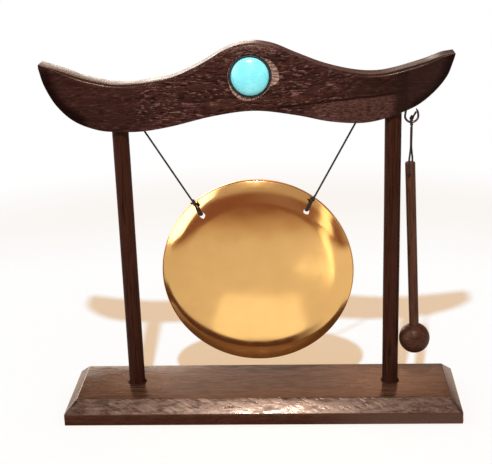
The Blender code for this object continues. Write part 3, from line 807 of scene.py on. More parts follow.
@dataclass
class Studio:
    """The camera, the lamp, the pale floor and the white surroundings."""

    eye: Triple = (0.02404, -0.55384, 0.29408)
    right: Triple = (0.9985, 0.0447, -0.0305)
    up: Triple = (0.0139, 0.3322, 0.9431)
    back: Triple = (0.0523, -0.9422, 0.3311)
    lens: float = 82.05
    sensor: float = 36.0
    lamp: Triple = (-0.041, -0.596, 0.9587)
    lamp_aim: Triple = (0.0, 0.0, 0.09)
    lamp_size: float = 0.035
    lamp_watts: float = 11.0
    lamp_level: float = 0.75
    most_gain: float = 1.38
    ambient: Rgb = (0.36, 0.35, 0.34)
    shade: Rgb = (0.790, 0.585, 0.410)
    bounce: Rgb = (0.78, 0.76, 0.73)
    floor_size: float = 3.0
    fade: Pair = (0.34, 0.50)
    left_wall: Rgb = (0.80, 0.77, 0.80)
    right_wall: Rgb = (1.0, 0.97, 1.0)
    right_table: Rgb = (0.99, 0.96, 0.99)
    dim_end: Rgb = (0.28, 0.126, 0.105)
    far_wall: Rgb = (0.57, 0.49, 0.50)
    near_end: Rgb = (0.62, 0.47, 0.38)
    right_window: Rgb = (2.2, 2.05, 1.8)
    left_window: Rgb = (4.2, 4.4, 5.0)
    dark_end: Rgb = (0.42, 0.24, 0.15)
    warm_end: Rgb = (2.05, 1.18, 0.74)
    glare: Rgb = (6.0, 5.3, 4.5)
    sheet_patch: Rgb = (1.32, 1.32, 1.34)
    foot_shade: Rgb = (0.11, 0.050, 0.042)
    table_behind: Rgb = (0.70, 0.42, 0.22)

    def set_camera(self) -> None:
        """Place the camera where the photograph was taken from."""
        data = bpy.data.cameras.new("camera")
        data.lens = self.lens
        data.sensor_width = self.sensor
        data.sensor_fit = "HORIZONTAL"
        data.clip_start = 0.01
        data.clip_end = 20.0
        turn = Matrix((self.right, self.up, self.back)).transposed().to_4x4()
        bpy.context.scene.camera = linked("camera", data, Matrix.Translation(Vector(self.eye)) @ turn)

    def set_lamp(self) -> None:
        """Hang the one lamp, a small round one, above and in front."""
        data = bpy.data.lights.new("lamp", "AREA")
        data.shape = "DISK"
        data.size = self.lamp_size
        data.energy = self.lamp_watts
        reach = Vector(self.lamp_aim) - Vector(self.lamp)
        linked("lamp", data, Matrix.Translation(Vector(self.lamp))
               @ reach.to_track_quat("-Z", "Y").to_matrix().to_4x4())

    def surroundings(self, recipe: Recipe) -> Value:
        """Paint what gloss sees round the object, the later layers over the earlier ones.

        In front stand a far wall with a dim end below it, and behind a dark end. Then come the slanting window
        at the right, the window at the left, and behind a warm end, a dim end below it and a glare at the left.

        Args:
            recipe: the world's recipe.

        Returns:
            The colour.
        """
        x, y, z = recipe.parts(recipe.vector("NORMALIZE", recipe.node("TexCoord", out="Generated")))
        turn = recipe.sums("ARCTAN2", x, y * -1.0) * PER_RADIAN
        tilt = recipe.sums("ARCSINE", z) * PER_RADIAN
        lean = x / y.at_least(0.05)
        behind = y.rise(0.0, 0.25)
        front = turn.within(-56.0, 56.0, 9.0)
        return recipe.layers(
            self.left_wall, (turn.rise(-35.0, 35.0), self.right_wall),
            (front * tilt.rise(62.0, 50.0), self.far_wall),
            (front * tilt.rise(26.0, 12.0) * abs(turn - 6.0).rise(2.0, 14.0, 0.72, 1.0), self.dim_end),
            (behind * tilt.rise(15.0, 20.0), self.dark_end),
            (abs(tilt - (turn * 0.95 - 27.0)).rise(8.0, 4.0) * turn.within(14.0, 62.0, 3.0), self.right_window),
            (turn.within(-94.0, -35.0, 3.0) * tilt.within(-3.0, 46.0, 3.0), self.left_window),
            (behind * tilt.within(19.0, 44.0, 3.0) * abs(lean + 0.01).rise(0.32, 0.03), self.warm_end),
            (behind * lean.rise(-0.10, -0.02) * tilt.rise(18.0, 14.0), self.dim_end),
            (behind * lean.rise(0.0, -0.06) * tilt.within(2.5, 14.0, 1.2), self.glare))

    def set_world(self) -> None:
        """Light the scene with a soft even level, and show white behind it."""
        recipe = Recipe(bpy.data.worlds.new("surroundings"))
        colour = recipe.layers(self.ambient, (recipe.ray("Camera"), WHITE), (recipe.ray("Transmission"), WHITE),
                               (recipe.ray("Glossy"), self.surroundings(recipe)))
        bpy.context.scene.world = recipe.feed("Background", {"Color": colour, "Strength": 1.0})

    def floor_in_gloss(self, recipe: Recipe, x: Value, y: Value) -> Value:
        """Paint what gloss sees of the table, the later layers over the earlier ones.

        On the pale table lie a sheet before the stand and a bright patch. Towards the camera the table ends, and
        the dim end shows beyond it. Then come the right window's strip, the shade at the base board's foot and
        the warm table behind it.

        Args:
            recipe: the floor's recipe.
            x: the place across, in metres.
            y: the place in depth, in metres.

        Returns:
            The colour.
        """
        out = y * -1.0
        middle = out * (out * 0.30 + 0.14) + 0.044
        strip = abs(x - middle) / out.at_least(0.05)
        patch = abs(x - 0.052) * 45.0 + abs(y + 0.215) * 28.0
        return recipe.layers(
            self.left_wall, (x.rise(-0.30, 0.25), self.right_table),
            (x.within(-0.042, 0.033, 0.003) * y.within(-0.139, -0.02, 0.004), self.sheet_patch),
            (patch.rise(1.15, 0.9), self.sheet_patch),
            (y.rise(-0.34, -0.45), self.near_end),
            (y.rise(-0.47, -0.60), self.dim_end),
            (strip.rise(0.10, 0.06) * out.rise(0.15, 0.19), self.right_window),
            (y.rise(-0.060, -0.051) * x.rise(0.065, 0.02), self.foot_shade),
            (y.rise(-0.026, -0.022), self.table_behind))

    def floor_finish(self) -> bpy.types.Material:
        """Build the floor: white where the lamp lights it, warm tan in the shadows.

        Returns:
            The material.
        """
        recipe = Recipe(bpy.data.materials.new("pale_floor"))
        recipe.tree.nodes.remove(recipe.tree.nodes["Principled BSDF"])
        place = recipe.node("TexCoord", out="Object")
        x, y, _ = recipe.parts(place)
        lamp = Vector(self.lamp)
        axis = (Vector(self.lamp_aim) - lamp).normalized()
        reach = recipe.vector("SUBTRACT", place, tuple(lamp))
        far = recipe.vector("LENGTH", reach, out=1)
        level = recipe.vector("DOT_PRODUCT", reach, tuple(axis), 1) / recipe.sums("POWER", far, 4.0)
        full = axis.dot(-lamp) / lamp.length ** 4
        gain = recipe.sums("MINIMUM", recipe.sums("DIVIDE", full, level), self.most_gain)
        take = tuple((1.0 - s) / self.lamp_level for s in self.shade)
        soft = recipe.scaled(tuple(t * e for t, e in zip(take, self.ambient)), gain)
        glow = recipe.glow(recipe.vector("SUBTRACT", self.shade, soft))
        paint = recipe.node("BsdfDiffuse", {"Color": recipe.scaled(take, gain)})
        near = recipe.node("AddShader", {0: glow, 1: paint})
        fade = recipe.vector("LENGTH", place, out=1).rise(*self.fade)
        seen = recipe.blend(fade, near, recipe.glow(WHITE))
        in_gloss = recipe.ray("Glossy") * y.rise(-0.026, -0.022, 1.0, 0.6)
        seen = recipe.blend(in_gloss, seen, recipe.glow(self.floor_in_gloss(recipe, x, y)))
        direct = recipe.ray("Camera").at_least(recipe.ray("Glossy")).at_least(recipe.ray("Transmission"))
        plain = recipe.node("BsdfDiffuse", {"Color": self.bounce})
        return recipe.feed("Material Output", {"Surface": recipe.blend(direct, plain, seen)})

    def set_floor(self) -> None:
        """Lay the floor that the stand rests on."""
        bm = bmesh.new()
        half = self.floor_size / 2.0
        bm.faces.new([bm.verts.new((x * half, y * half, 0.0)) for x, y in ((-1, -1), (1, -1), (1, 1), (-1, 1))])
        floor = to_object("floor", bm)
        floor.data.materials.append(self.floor_finish())

    def build(self) -> None:
        """Set up the whole studio."""
        self.set_camera()
        self.set_lamp()
        self.set_world()
        self.set_floor()
        bpy.context.scene.view_settings.view_transform = "Standard"


# ---------------------------------------------------------------- the stand


@dataclass
class BaseBoard:
    """The base board with its mitred chamfer, two sockets and beads of glue."""

    length: float = 0.2118
    depth: float = 0.0526
    thickness: float = 0.0127
    chamfer: float = 0.0063
    ease: float = 0.0004
    socket_floor: float = 0.0034
    bead_inner: float = 0.00432
    bead_skirt: float = 0.0004
    bead_edge: float = 0.00005
    bead_reach: float = 0.0009
    bead_height: float = 0.0008
    scratch_and_painted_glare: Rgb = (0.38, 0.24, 0.175)
    chip: Rgb = (0.020, 0.007, 0.004)
    mitre: Rgb = (0.004, 0.0015, 0.001)
    edge: Rgb = (0.048, 0.0135, 0.0070)
    slant: Triple = (0.0, -0.34, 0.0)

    def board(self) -> Solid:
        """Build the board with soft edges and its two round sockets.

        Returns:
            The board.
        """
        rings = []
        for inset, height in ((0.0, 0.0), (0.0, self.thickness - self.chamfer), (self.chamfer, self.thickness)):
            x, y = self.length / 2.0 - inset, self.depth / 2.0 - inset
            rings.append([(-x, -y, height), (x, -y, height), (x, y, height), (-x, y, height)])
        board = to_object("base_board_finished", skinned(rings))
        soften = board.modifiers.new("soften", "BEVEL")
        soften.width = self.ease
        soften.segments = 3
        soften.limit_method = "ANGLE"
        soften.angle_limit = math.radians(20.0)
        bake_shape(board)
        return cut_away(board, [rod("socket", Vector((x, 0.0, self.socket_floor)),
                                    Vector((x, 0.0, self.thickness + 0.001)), SOCKET_RADIUS)
                                for x in (-POST_X, POST_X)], 25.0)

    def bead(self, name: str, x: float, seed: float) -> Solid:
        """Build the uneven bead of glue round one post's foot.

        Args:
            name: the piece's name.
            x: the post's place.
            seed: picks the bead's own uneven outline.

        Returns:
            The bead.
        """
        def wobble(turn: float, height: float) -> float:
            """Return how far the bead spreads, most at its foot and not at all inside."""
            grown = max(0.0, 1.0 - height / self.bead_height) if height >= 0.0 else 0.0
            return self.bead_reach * grown * (0.9 * lumps(turn, 1.6, seed) + 0.35 * lumps(turn, 4.5, seed + 5.0))

        profile = [(self.bead_inner, -self.bead_skirt)]
        for turn in spread(0.0, QUARTER, 6):
            profile.append((self.bead_inner + self.bead_reach * (1.0 - math.sin(turn)) + self.bead_edge,
                            self.bead_height * (1.0 - math.cos(turn))))
        return turned(name, profile, 64, Matrix.Translation((x, 0.0, self.thickness)), wobble, True)

    def trim(self, recipe: Recipe, colour: Value, height: Value) -> tuple[Value, Value]:
        """Scratch the front chamfer and paint the lamp's glare into its middle, chip it, and darken the mitres and
        the lower edge.

        Args:
            recipe: the material's recipe.
            colour: the wood's colour.
            height: the wood's height.

        Returns:
            The colour and the height with the marks.
        """
        x, y, z = recipe.parts(recipe.place())
        side = 500.0 * self.depth - abs(y)
        off = abs(500.0 * self.length - abs(x) - side)
        bevel = y.rise(-19.6, -20.1) * z.rise(6.2, 6.8)
        slanted = recipe.vector("MULTIPLY", recipe.place(turn=self.slant), (0.085, 0.0, 0.75))
        streak = (recipe.noise(slanted, 3.0, 0.62).rise(0.46, 0.58) * bevel
                  * recipe.spots((0.045, 0.0, 0.30), 3.0, 0.6).rise(0.38, 0.60))
        chips = recipe.spots((0.55, 0.0, 1.3), 3.0, 0.7).rise(0.52, 0.44)
        colour = recipe.layers(
            # pale scratch streaks, painted brighter towards the middle as a painted highlight where the lamp's glare
            # falls on the chamfer
            colour, (streak * abs(x + 12.0).rise(85.0, 25.0, 0.16, 0.50), self.scratch_and_painted_glare),
            (chips * abs(x + 8.0).rise(42.0, 75.0, 0.0, 0.75) * bevel, self.chip),
            (off.rise(2.2, 1.2) * side.rise(6.2, 5.2) * 0.96, self.mitre),
            (z.rise(6.7, 6.1) * 0.9, self.edge))
        return colour, streak * 4.5 + height

    def rub(self, recipe: Recipe) -> Value:
        """Dull the lacquer on the top's middle and in spots of the front chamfer.

        Args:
            recipe: the material's recipe.

        Returns:
            What is added to the roughness.
        """
        x, y, _ = recipe.parts(recipe.place())
        top = y.rise(-20.2, -19.4) * abs(x + 2.0).rise(78.0, 18.0, 0.0, 0.36)
        spots = recipe.spots((0.12, 0.0, 0.55), 2.0, 0.6, turn=self.slant)
        return top + y.rise(-19.4, -20.2) * spots.rise(0.42, 0.60, 0.04, 0.22)

    def build(self) -> None:
        """Build and dress the board and its beads of glue."""
        wood = BASE_WOOD.make(self.trim, rub=self.rub)
        settle(self.board(), Body.STAND, Slot.STAND_WOOD, wood, "base_board")
        glue = FOOT_GLUE.make()
        for name, x, seed in (("left_foot_glue", -POST_X, 1.3), ("right_foot_glue", POST_X, 7.9)):
            settle(self.bead(name, x, seed), Body.STAND, Slot.RESIN, glue)


@dataclass
class PostPair:
    """The two round posts, dowels glued into the base board and the crossbeam."""

    radius: float = 0.0043
    bottom: float = 0.0037
    ease: float = 0.0003
    uneven: float = 0.00005
    planed: float = 0.00006

    def post(self, name: str, x: float, seed: float) -> Solid:
        """Build one dowel, a little uneven and thinner, as planed wood is.

        Args:
            name: the piece's name.
            x: the post's place.
            seed: picks its own unevenness.

        Returns:
            The post.
        """
        def wobble(turn: float, height: float) -> float:
            """Return how far the dowel's skin stands off its true radius."""
            return self.uneven * lumps(turn, 0.7, height * 22.0 + seed) - self.planed

        length = POST_TOP - self.bottom
        profile = [(self.radius - self.ease, 0.0)]
        profile += [(self.radius, height) for height in spread(self.ease, length - self.ease, 48)]
        profile.append((self.radius - self.ease, length))
        return turned(name, profile, 64, Matrix.Translation((x, 0.0, self.bottom)), wobble)

    def build(self) -> None:
        """Build and dress both posts."""
        wood = POST_WOOD.make()
        for side, x, seed in (("left", -POST_X, 2.0), ("right", POST_X, 11.0)):
            settle(self.post(side + "_post_finished", x, seed), Body.STAND, Slot.POST_WOOD, wood, side + "_post")


@dataclass
class Crossbeam:
    """The sawn crossbeam with its horns, sockets, cord holes and carved recess.

    The keys of its edges are heights over the datum. Their first number runs across: -1 and 1 lie over the
    posts, and -2 and 2 at the horns' ends.
    """

    left_reach: float = 0.0381
    right_reach: float = 0.0294
    datum: float = 0.1562
    front: float = -BEAM_THICKNESS / 2.0
    ease: float = 0.0005
    worn: float = 0.0017
    worn_run: float = 0.018
    cord_hole_radius: float = 0.00125
    cord_hole_depth: float = 0.008
    shank_hole_radius: float = 0.00086
    overrun: float = 0.002
    recess_radius: float = 0.0108
    rough_margin: float = 0.0004
    chatter_depth: float = 0.00055
    ragged: float = 0.00022
    stain: Rgb = (0.012, 0.0040, 0.0030)
    warm: Rgb = (0.120, 0.052, 0.040)
    crack: Rgb = (0.008, 0.003, 0.002)
    knot: Rgb = (0.011, 0.0055, 0.0045)
    horn: Rgb = (0.022, 0.010, 0.009)
    # painted shade: near-black colours for where the horns' rounded lower edges face down
    left_horn_shade: Rgb = (0.004, 0.001, 0.001)
    right_horn_shade: Rgb = (0.005, 0.002, 0.0015)
    wear: Rgb = (0.19, 0.105, 0.088)
    raw: tuple[Rgb, Rgb] = ((0.11, 0.048, 0.038), (0.40, 0.25, 0.20))
    top_keys: tuple[Pair, ...] = (
        (-2.0, 0.0348), (-1.75, 0.0316), (-1.51, 0.0281), (-1.27, 0.0255), (-1.0, 0.0237),
        (-0.8, 0.0243), (-0.6, 0.0267), (-0.4, 0.0325), (-0.2, 0.0401), (-0.04, 0.0430),
        (0.13, 0.0414), (0.3, 0.0364), (0.5, 0.0309), (0.7, 0.0274), (0.86, 0.0264),
        (1.0, 0.0277), (1.5, 0.0318), (1.8, 0.0350), (2.0, 0.0359))
    under_keys: tuple[Pair, ...] = (
        (-2.0, 0.0329), (-1.94, 0.0238), (-1.8, 0.0137), (-1.58, 0.0056), (-1.28, 0.0009),
        (-1.0, -0.0003), (-0.82, -0.0002), (-0.6, 0.0022), (-0.3, 0.0070), (0.0, 0.0093),
        (0.3, 0.0066), (0.52, 0.0033), (0.72, 0.0020), (0.86, 0.0028), (1.0, 0.0056),
        (1.38, 0.0104), (1.67, 0.0173), (1.87, 0.0248), (1.96, 0.0317), (1.995, 0.0351))

    def edge(self, keys: Sequence[Pair]) -> list[Pair]:
        """Draw one edge of the outline.

        Args:
            keys: the edge's keys.

        Returns:
            Fine (x, z) points.
        """
        points = []
        for share, height in keys:
            reach = self.left_reach if share < 0.0 else self.right_reach
            x = min(abs(share), 1.0) * POST_X + max(abs(share) - 1.0, 0.0) * reach
            points.append((math.copysign(x, share), 0.0, self.datum + height))
        return [(p.x, p.z) for p in smooth_path(points, 8)]

    def blank(self) -> Solid:
        """Build the sawn blank, its front's upper edge worn round and the others only eased.

        Returns:
            The blank.
        """
        top = self.edge(self.top_keys)
        outline = top + self.edge(self.under_keys)[::-1]
        left, right = min(outline)[0], max(outline)[0]
        inward = [Vector((bz - az, 0.0, ax - bx)).normalized()
                  for (ax, az), (bx, bz) in zip(outline[-1:] + outline, outline[1:] + outline[:1])]
        steps = 6
        rings = []
        for side, levels in ((-1.0, range(steps + 1, -1, -1)), (1.0, range(steps + 2))):
            for level in levels:
                turn = QUARTER * min(level, steps) / steps
                ring = []
                for k, ((x, z), way) in enumerate(zip(outline, inward)):
                    reach = min(x - left, right - x)
                    worn = min(1.0, reach / self.worn_run) if side < 0.0 and k < len(top) else 0.0
                    ease = (self.ease + self.worn * worn * worn * (3.0 - 2.0 * worn)) * min(1.0, 0.25 + reach / 0.004)
                    inset = ease * (1.0 - math.cos(turn) + (0.25 if level > steps else 0.0))
                    y = side * (-self.front - ease * (1.0 - math.sin(turn)))
                    ring.append((x + way.x * inset, y, z + way.z * inset))
                rings.append(ring)
        return to_object("crossbeam_finished", skinned(rings))

    def chatter_radius(self, degrees: float) -> float:
        """Reckon how far the rough cut round the recess reaches at a turn.

        Args:
            degrees: the turn.

        Returns:
            The radius.
        """
        radius = self.recess_radius + self.rough_margin
        for peak, before, after, reach in ((-5.0, 22.0, 61.0, 0.0034), (248.0, 50.0, 48.0, 0.0012)):
            away = (degrees - peak + 180.0) % 360.0 - 180.0
            span = after if away > 0.0 else before
            if abs(away) < span:
                radius += reach * math.cos(QUARTER * away / span)
        return radius + self.ragged * noise.noise(Vector((degrees * 0.21, 3.0, 0.0)))

    def chatter(self) -> Solid:
        """Build the tool that cuts the rough crescents, with radial gouge marks on its floor.

        Returns:
            The tool.
        """
        rings = []
        for share, level in ((1.0, None), (1.0, 0.0), (0.985, 0.6), (0.955, 0.95), (0.90, 1.0), (0.82, 1.0),
                             (0.70, 1.0)):
            ring = []
            for degrees in spread(0.0, 360.0, 288)[:-1]:
                radius = self.chatter_radius(degrees) * share
                angle = math.radians(degrees)
                y = self.front - self.overrun
                if level is not None:
                    gouge = 0.5 + 0.5 * math.sin(angle * 46.0
                                                 + 5.0 * noise.noise(Vector((degrees * 0.06, 0.0, 7.0))))
                    y = self.front + self.chatter_depth * level * (0.55 + 0.45 * gouge)
                ring.append((STONE[0] + radius * math.cos(angle), y, STONE[1] + radius * math.sin(angle)))
            rings.append(ring)
        return to_object("chatter", skinned(rings))

    def tools(self) -> list[Solid]:
        """Build every shape that is cut out of the blank.

        Returns:
            The post sockets, the cord holes, the hook's pilot hole, the stone's recess and the rough cut.
        """
        made = [rod("head_socket", Vector((x, 0.0, self.datum - self.overrun)), Vector((x, 0.0, POST_TOP + GAP)),
                    SOCKET_RADIUS) for x in (-POST_X, POST_X)]
        made += [rod("cord_hole", Vector(mouth) - UP * self.overrun, Vector(mouth) + UP * self.cord_hole_depth,
                     self.cord_hole_radius, 24) for mouth in MOUTHS]
        shank = Vector(SHANK)
        made.append(rod("pilot_hole", shank - UP * 0.003, shank + UP * (SHANK_LENGTH + GAP),
                        self.shank_hole_radius, 20))
        made.append(rod("recess", Vector((STONE[0], self.front + RECESS_DEPTH, STONE[1])),
                        Vector((STONE[0], self.front - self.overrun, STONE[1])), self.recess_radius, 96))
        return made + [self.chatter()]

    def trim(self, recipe: Recipe, colour: Value, height: Value) -> tuple[Value, Value]:
        """Lay on the board's own marks, and show raw wood in the rough cut.

        Args:
            recipe: the material's recipe.
            colour: the wood's colour.
            height: the wood's height.

        Returns:
            The colour and the height.
        """
        _, y, z = recipe.parts(recipe.place())
        radius, turn = recipe.polar(1000.0 * STONE[0], 1000.0 * STONE[1])
        cut_floor = y.rise(-5.99, -5.93) * y.rise(-4.6, -4.9) * radius.rise(15.4, 15.2) * z.rise(193.4, 193.0)
        strokes = recipe.noise(recipe.node("CombineXYZ", {0: turn * 14.0, 1: radius * 0.25}), 3.0, 0.65)
        raw = recipe.layers(self.raw[0], (strokes.rise(0.38, 0.62), self.raw[1]))
        return recipe.layers(self.marks(recipe, colour), (cut_floor, raw)), height

    def marks(self, recipe: Recipe, colour: Value) -> Value:
        """Lay the front's own marks over the wood.

        They are the stain that deepens to both ends, the warm mottled part below the dark grain line, the line
        itself, the dark band at the right post, the right horn, painted shade along the two horns' lower rims and the
        worn hump.

        Args:
            recipe: the material's recipe.
            colour: the wood's colour.

        Returns:
            The colour with the marks.
        """
        x, _, z = recipe.parts(recipe.place())
        above = z - (recipe.spots(0.16, 2.0) + (x * 0.103 + 165.3))
        mottle = recipe.spots((0.45, 1.0, 1.3), 3.0, 0.6).rise(0.40, 0.62)
        # masks for the painted shade on the horns' lower rims, where their rounded edges face down
        left_horn_shade = recipe.polar(-76.5, 188.2)[0].rise(22.8, 27.6)
        right_horn_shade = recipe.polar(66.0, 194.7)[0].rise(26.2, 30.6)
        blotch = recipe.spots((1.1, 1.1, 2.2)).rise(0.47, 0.60)
        return recipe.layers(
            colour, (x.rise(40.0, 78.0, 0.0, 0.45) + x.rise(-45.0, -80.0, 0.0, 0.12), self.stain),
            (x.rise(22.0, 34.0) * x.rise(71.0, 66.0) * above.rise(0.0, -0.8) * (mottle * 0.5 + 0.1), self.warm),
            (x.rise(4.0, 14.0) * x.rise(72.0, 69.0) * abs(above).rise(0.75, 0.35) * 0.85, self.crack),
            (abs(x - 73.3).rise(3.4, 2.0) * 0.65, self.knot),
            (x.rise(75.0, 78.0) * 0.45, self.horn),
            # painted shade along the lower edges of both horns
            (x.rise(-83.0, -88.0) * z.rise(191.0, 183.0, 0.35, 1.0) * left_horn_shade * 0.92, self.left_horn_shade),
            (x.rise(75.0, 80.0) * right_horn_shade * 0.9, self.right_horn_shade),
            (z.rise(192.2, 194.5) * abs(x).rise(15.0, 8.0) * blotch * 0.45, self.wear))

    def flow(self, recipe: Recipe) -> tuple[Value, Value]:
        """Let the grain climb to the right and grow calm at the horns.

        Args:
            recipe: the material's recipe.

        Returns:
            The grain's shift in millimetres and its busyness.
        """
        x, _, _ = recipe.parts(recipe.place())
        return (x - 12.0).at_least(0.0) * -0.1, x.rise(-66.0, -50.0) * x.rise(52.0, 38.0) * 0.75 + 0.25

    def build(self) -> None:
        """Build and dress the crossbeam."""
        beam = cut_away(self.blank(), self.tools(), 32.0)
        settle(beam, Body.STAND, Slot.STAND_WOOD, STAND_WOOD.make(self.trim, self.flow), "crossbeam")


@dataclass
class StoneSetting:
    """The domed stone and the resin cup that holds it in the crossbeam."""

    front: float = -BEAM_THICKNESS / 2.0
    stone_radius: float = 0.0095
    dome: float = 0.0036
    wall: float = 0.0007
    floor: float = 0.0012
    proud: float = 0.0002
    lip: float = 0.00025
    bevel: float = 0.0004
    lip_uneven: float = 0.00009
    dome_uneven: float = 0.00010

    def axis(self) -> Matrix:
        """Return the frame whose Z runs out of the crossbeam's front."""
        back = Vector((STONE[0], self.front + RECESS_DEPTH - GAP, STONE[1]))
        return along(back, back - Vector((0.0, 1.0, 0.0)))

    def bed(self) -> Solid:
        """Build the resin cup, its lip a little uneven.

        Returns:
            The cup.
        """
        height = RECESS_DEPTH - GAP + self.proud
        inner = self.stone_radius + GAP
        outer = inner + self.wall
        profile = [(0.0, 0.0), (outer, 0.0)]
        for turn in spread(0.0, QUARTER, 5):
            profile.append((outer - self.lip * (1.0 - math.cos(turn)),
                            height - self.lip + self.lip * math.sin(turn)))
        profile += [(inner, height), (inner, self.floor), (0.0, self.floor)]

        def wobble(turn: float, level: float) -> float:
            """Return the lip's unevenness, and none below it."""
            return self.lip_uneven * lumps(turn, 6.0, level * 900.0) if level >= height - 1.5 * self.lip else 0.0

        return turned("stone_bed_finished", profile, 144, self.axis(), wobble)

    def gem(self) -> Solid:
        """Build the stone with its girdle and its slightly uneven dome.

        Returns:
            The stone.
        """
        low = self.floor + GAP
        girdle = RECESS_DEPTH - GAP + self.proud + 0.0001
        profile = [(0.0, low), (self.stone_radius - self.bevel, low), (self.stone_radius, low + self.bevel)]
        profile += [(self.stone_radius * math.cos(turn), girdle + self.dome * math.sin(turn))
                    for turn in spread(0.0, QUARTER, 28)]
        profile[-1] = (0.0, girdle + self.dome)

        def wobble(turn: float, level: float) -> float:
            """Return the dome's unevenness, and none below the girdle."""
            return self.dome_uneven * lumps(turn, 1.4, level * 300.0) if level >= girdle else 0.0

        return turned("turquoise_finished", profile, 128, self.axis(), wobble)

    def build(self) -> None:
        """Build and dress the cup and the stone."""
        settle(self.bed(), Body.STAND, Slot.RESIN, SETTING_RESIN.make(), "stone_bed")
        settle(self.gem(), Body.STAND, Slot.TURQUOISE, Turquoise().make(), "turquoise_stone")


@dataclass
class ScrewHook:
    """The small screw hook under the crossbeam's right horn."""

    ring_radius: float = 0.0033
    tip_back: float = 0.0012
    tip_rise: float = 0.0038
    thread_step: float = 0.0002

    def wire(self) -> Solid:
        """Build the wire: a pointed shank, an open ring and a tapered tip.

        Returns:
            The wire.
        """
        shank, centre = Vector(SHANK), Vector(HOOK_CENTRE)
        route = [shank - UP * self.thread_step]
        for degrees in range(180, 361, 30):
            turn = math.radians(degrees)
            route.append(centre + self.ring_radius * Vector((math.cos(turn), 0.0, math.sin(turn))))
        tip = centre + Vector((self.ring_radius - self.tip_back, 0.0, self.tip_rise))
        route.append((route[-1] * 0.42 + tip * 0.58) + Vector((0.0003, 0.0, 0.0)))
        route.append(tip)
        path = [shank + UP * (SHANK_LENGTH - self.thread_step * k) for k in range(36)]
        path += even_path([path[-1] - UP * self.thread_step] + route, 0.00022)
        last = len(path) - 1

        def radius(k: int, turn: float) -> float:
            """Taper the wire to the screw's point and to the tip.

            Args:
                k: the point's number on the path.
                turn: the turn round the wire, which changes nothing.

            Returns:
                The radius.
            """
            point = 0.22 + 0.78 * min(1.0, k / 10.0)
            tip_end = 0.30 + 0.70 * min(1.0, (last - k) / 9.0) ** 0.7
            return WIRE_RADIUS * min(point, tip_end)

        return swept("screw_hook_finished", path, radius, 20)

    def build(self) -> None:
        """Build and dress the hook."""
        settle(self.wire(), Body.STAND, Slot.BRONZE, BRONZED_WIRE.make(), "screw_hook")


# ---------------------------------------------------------------- the gong


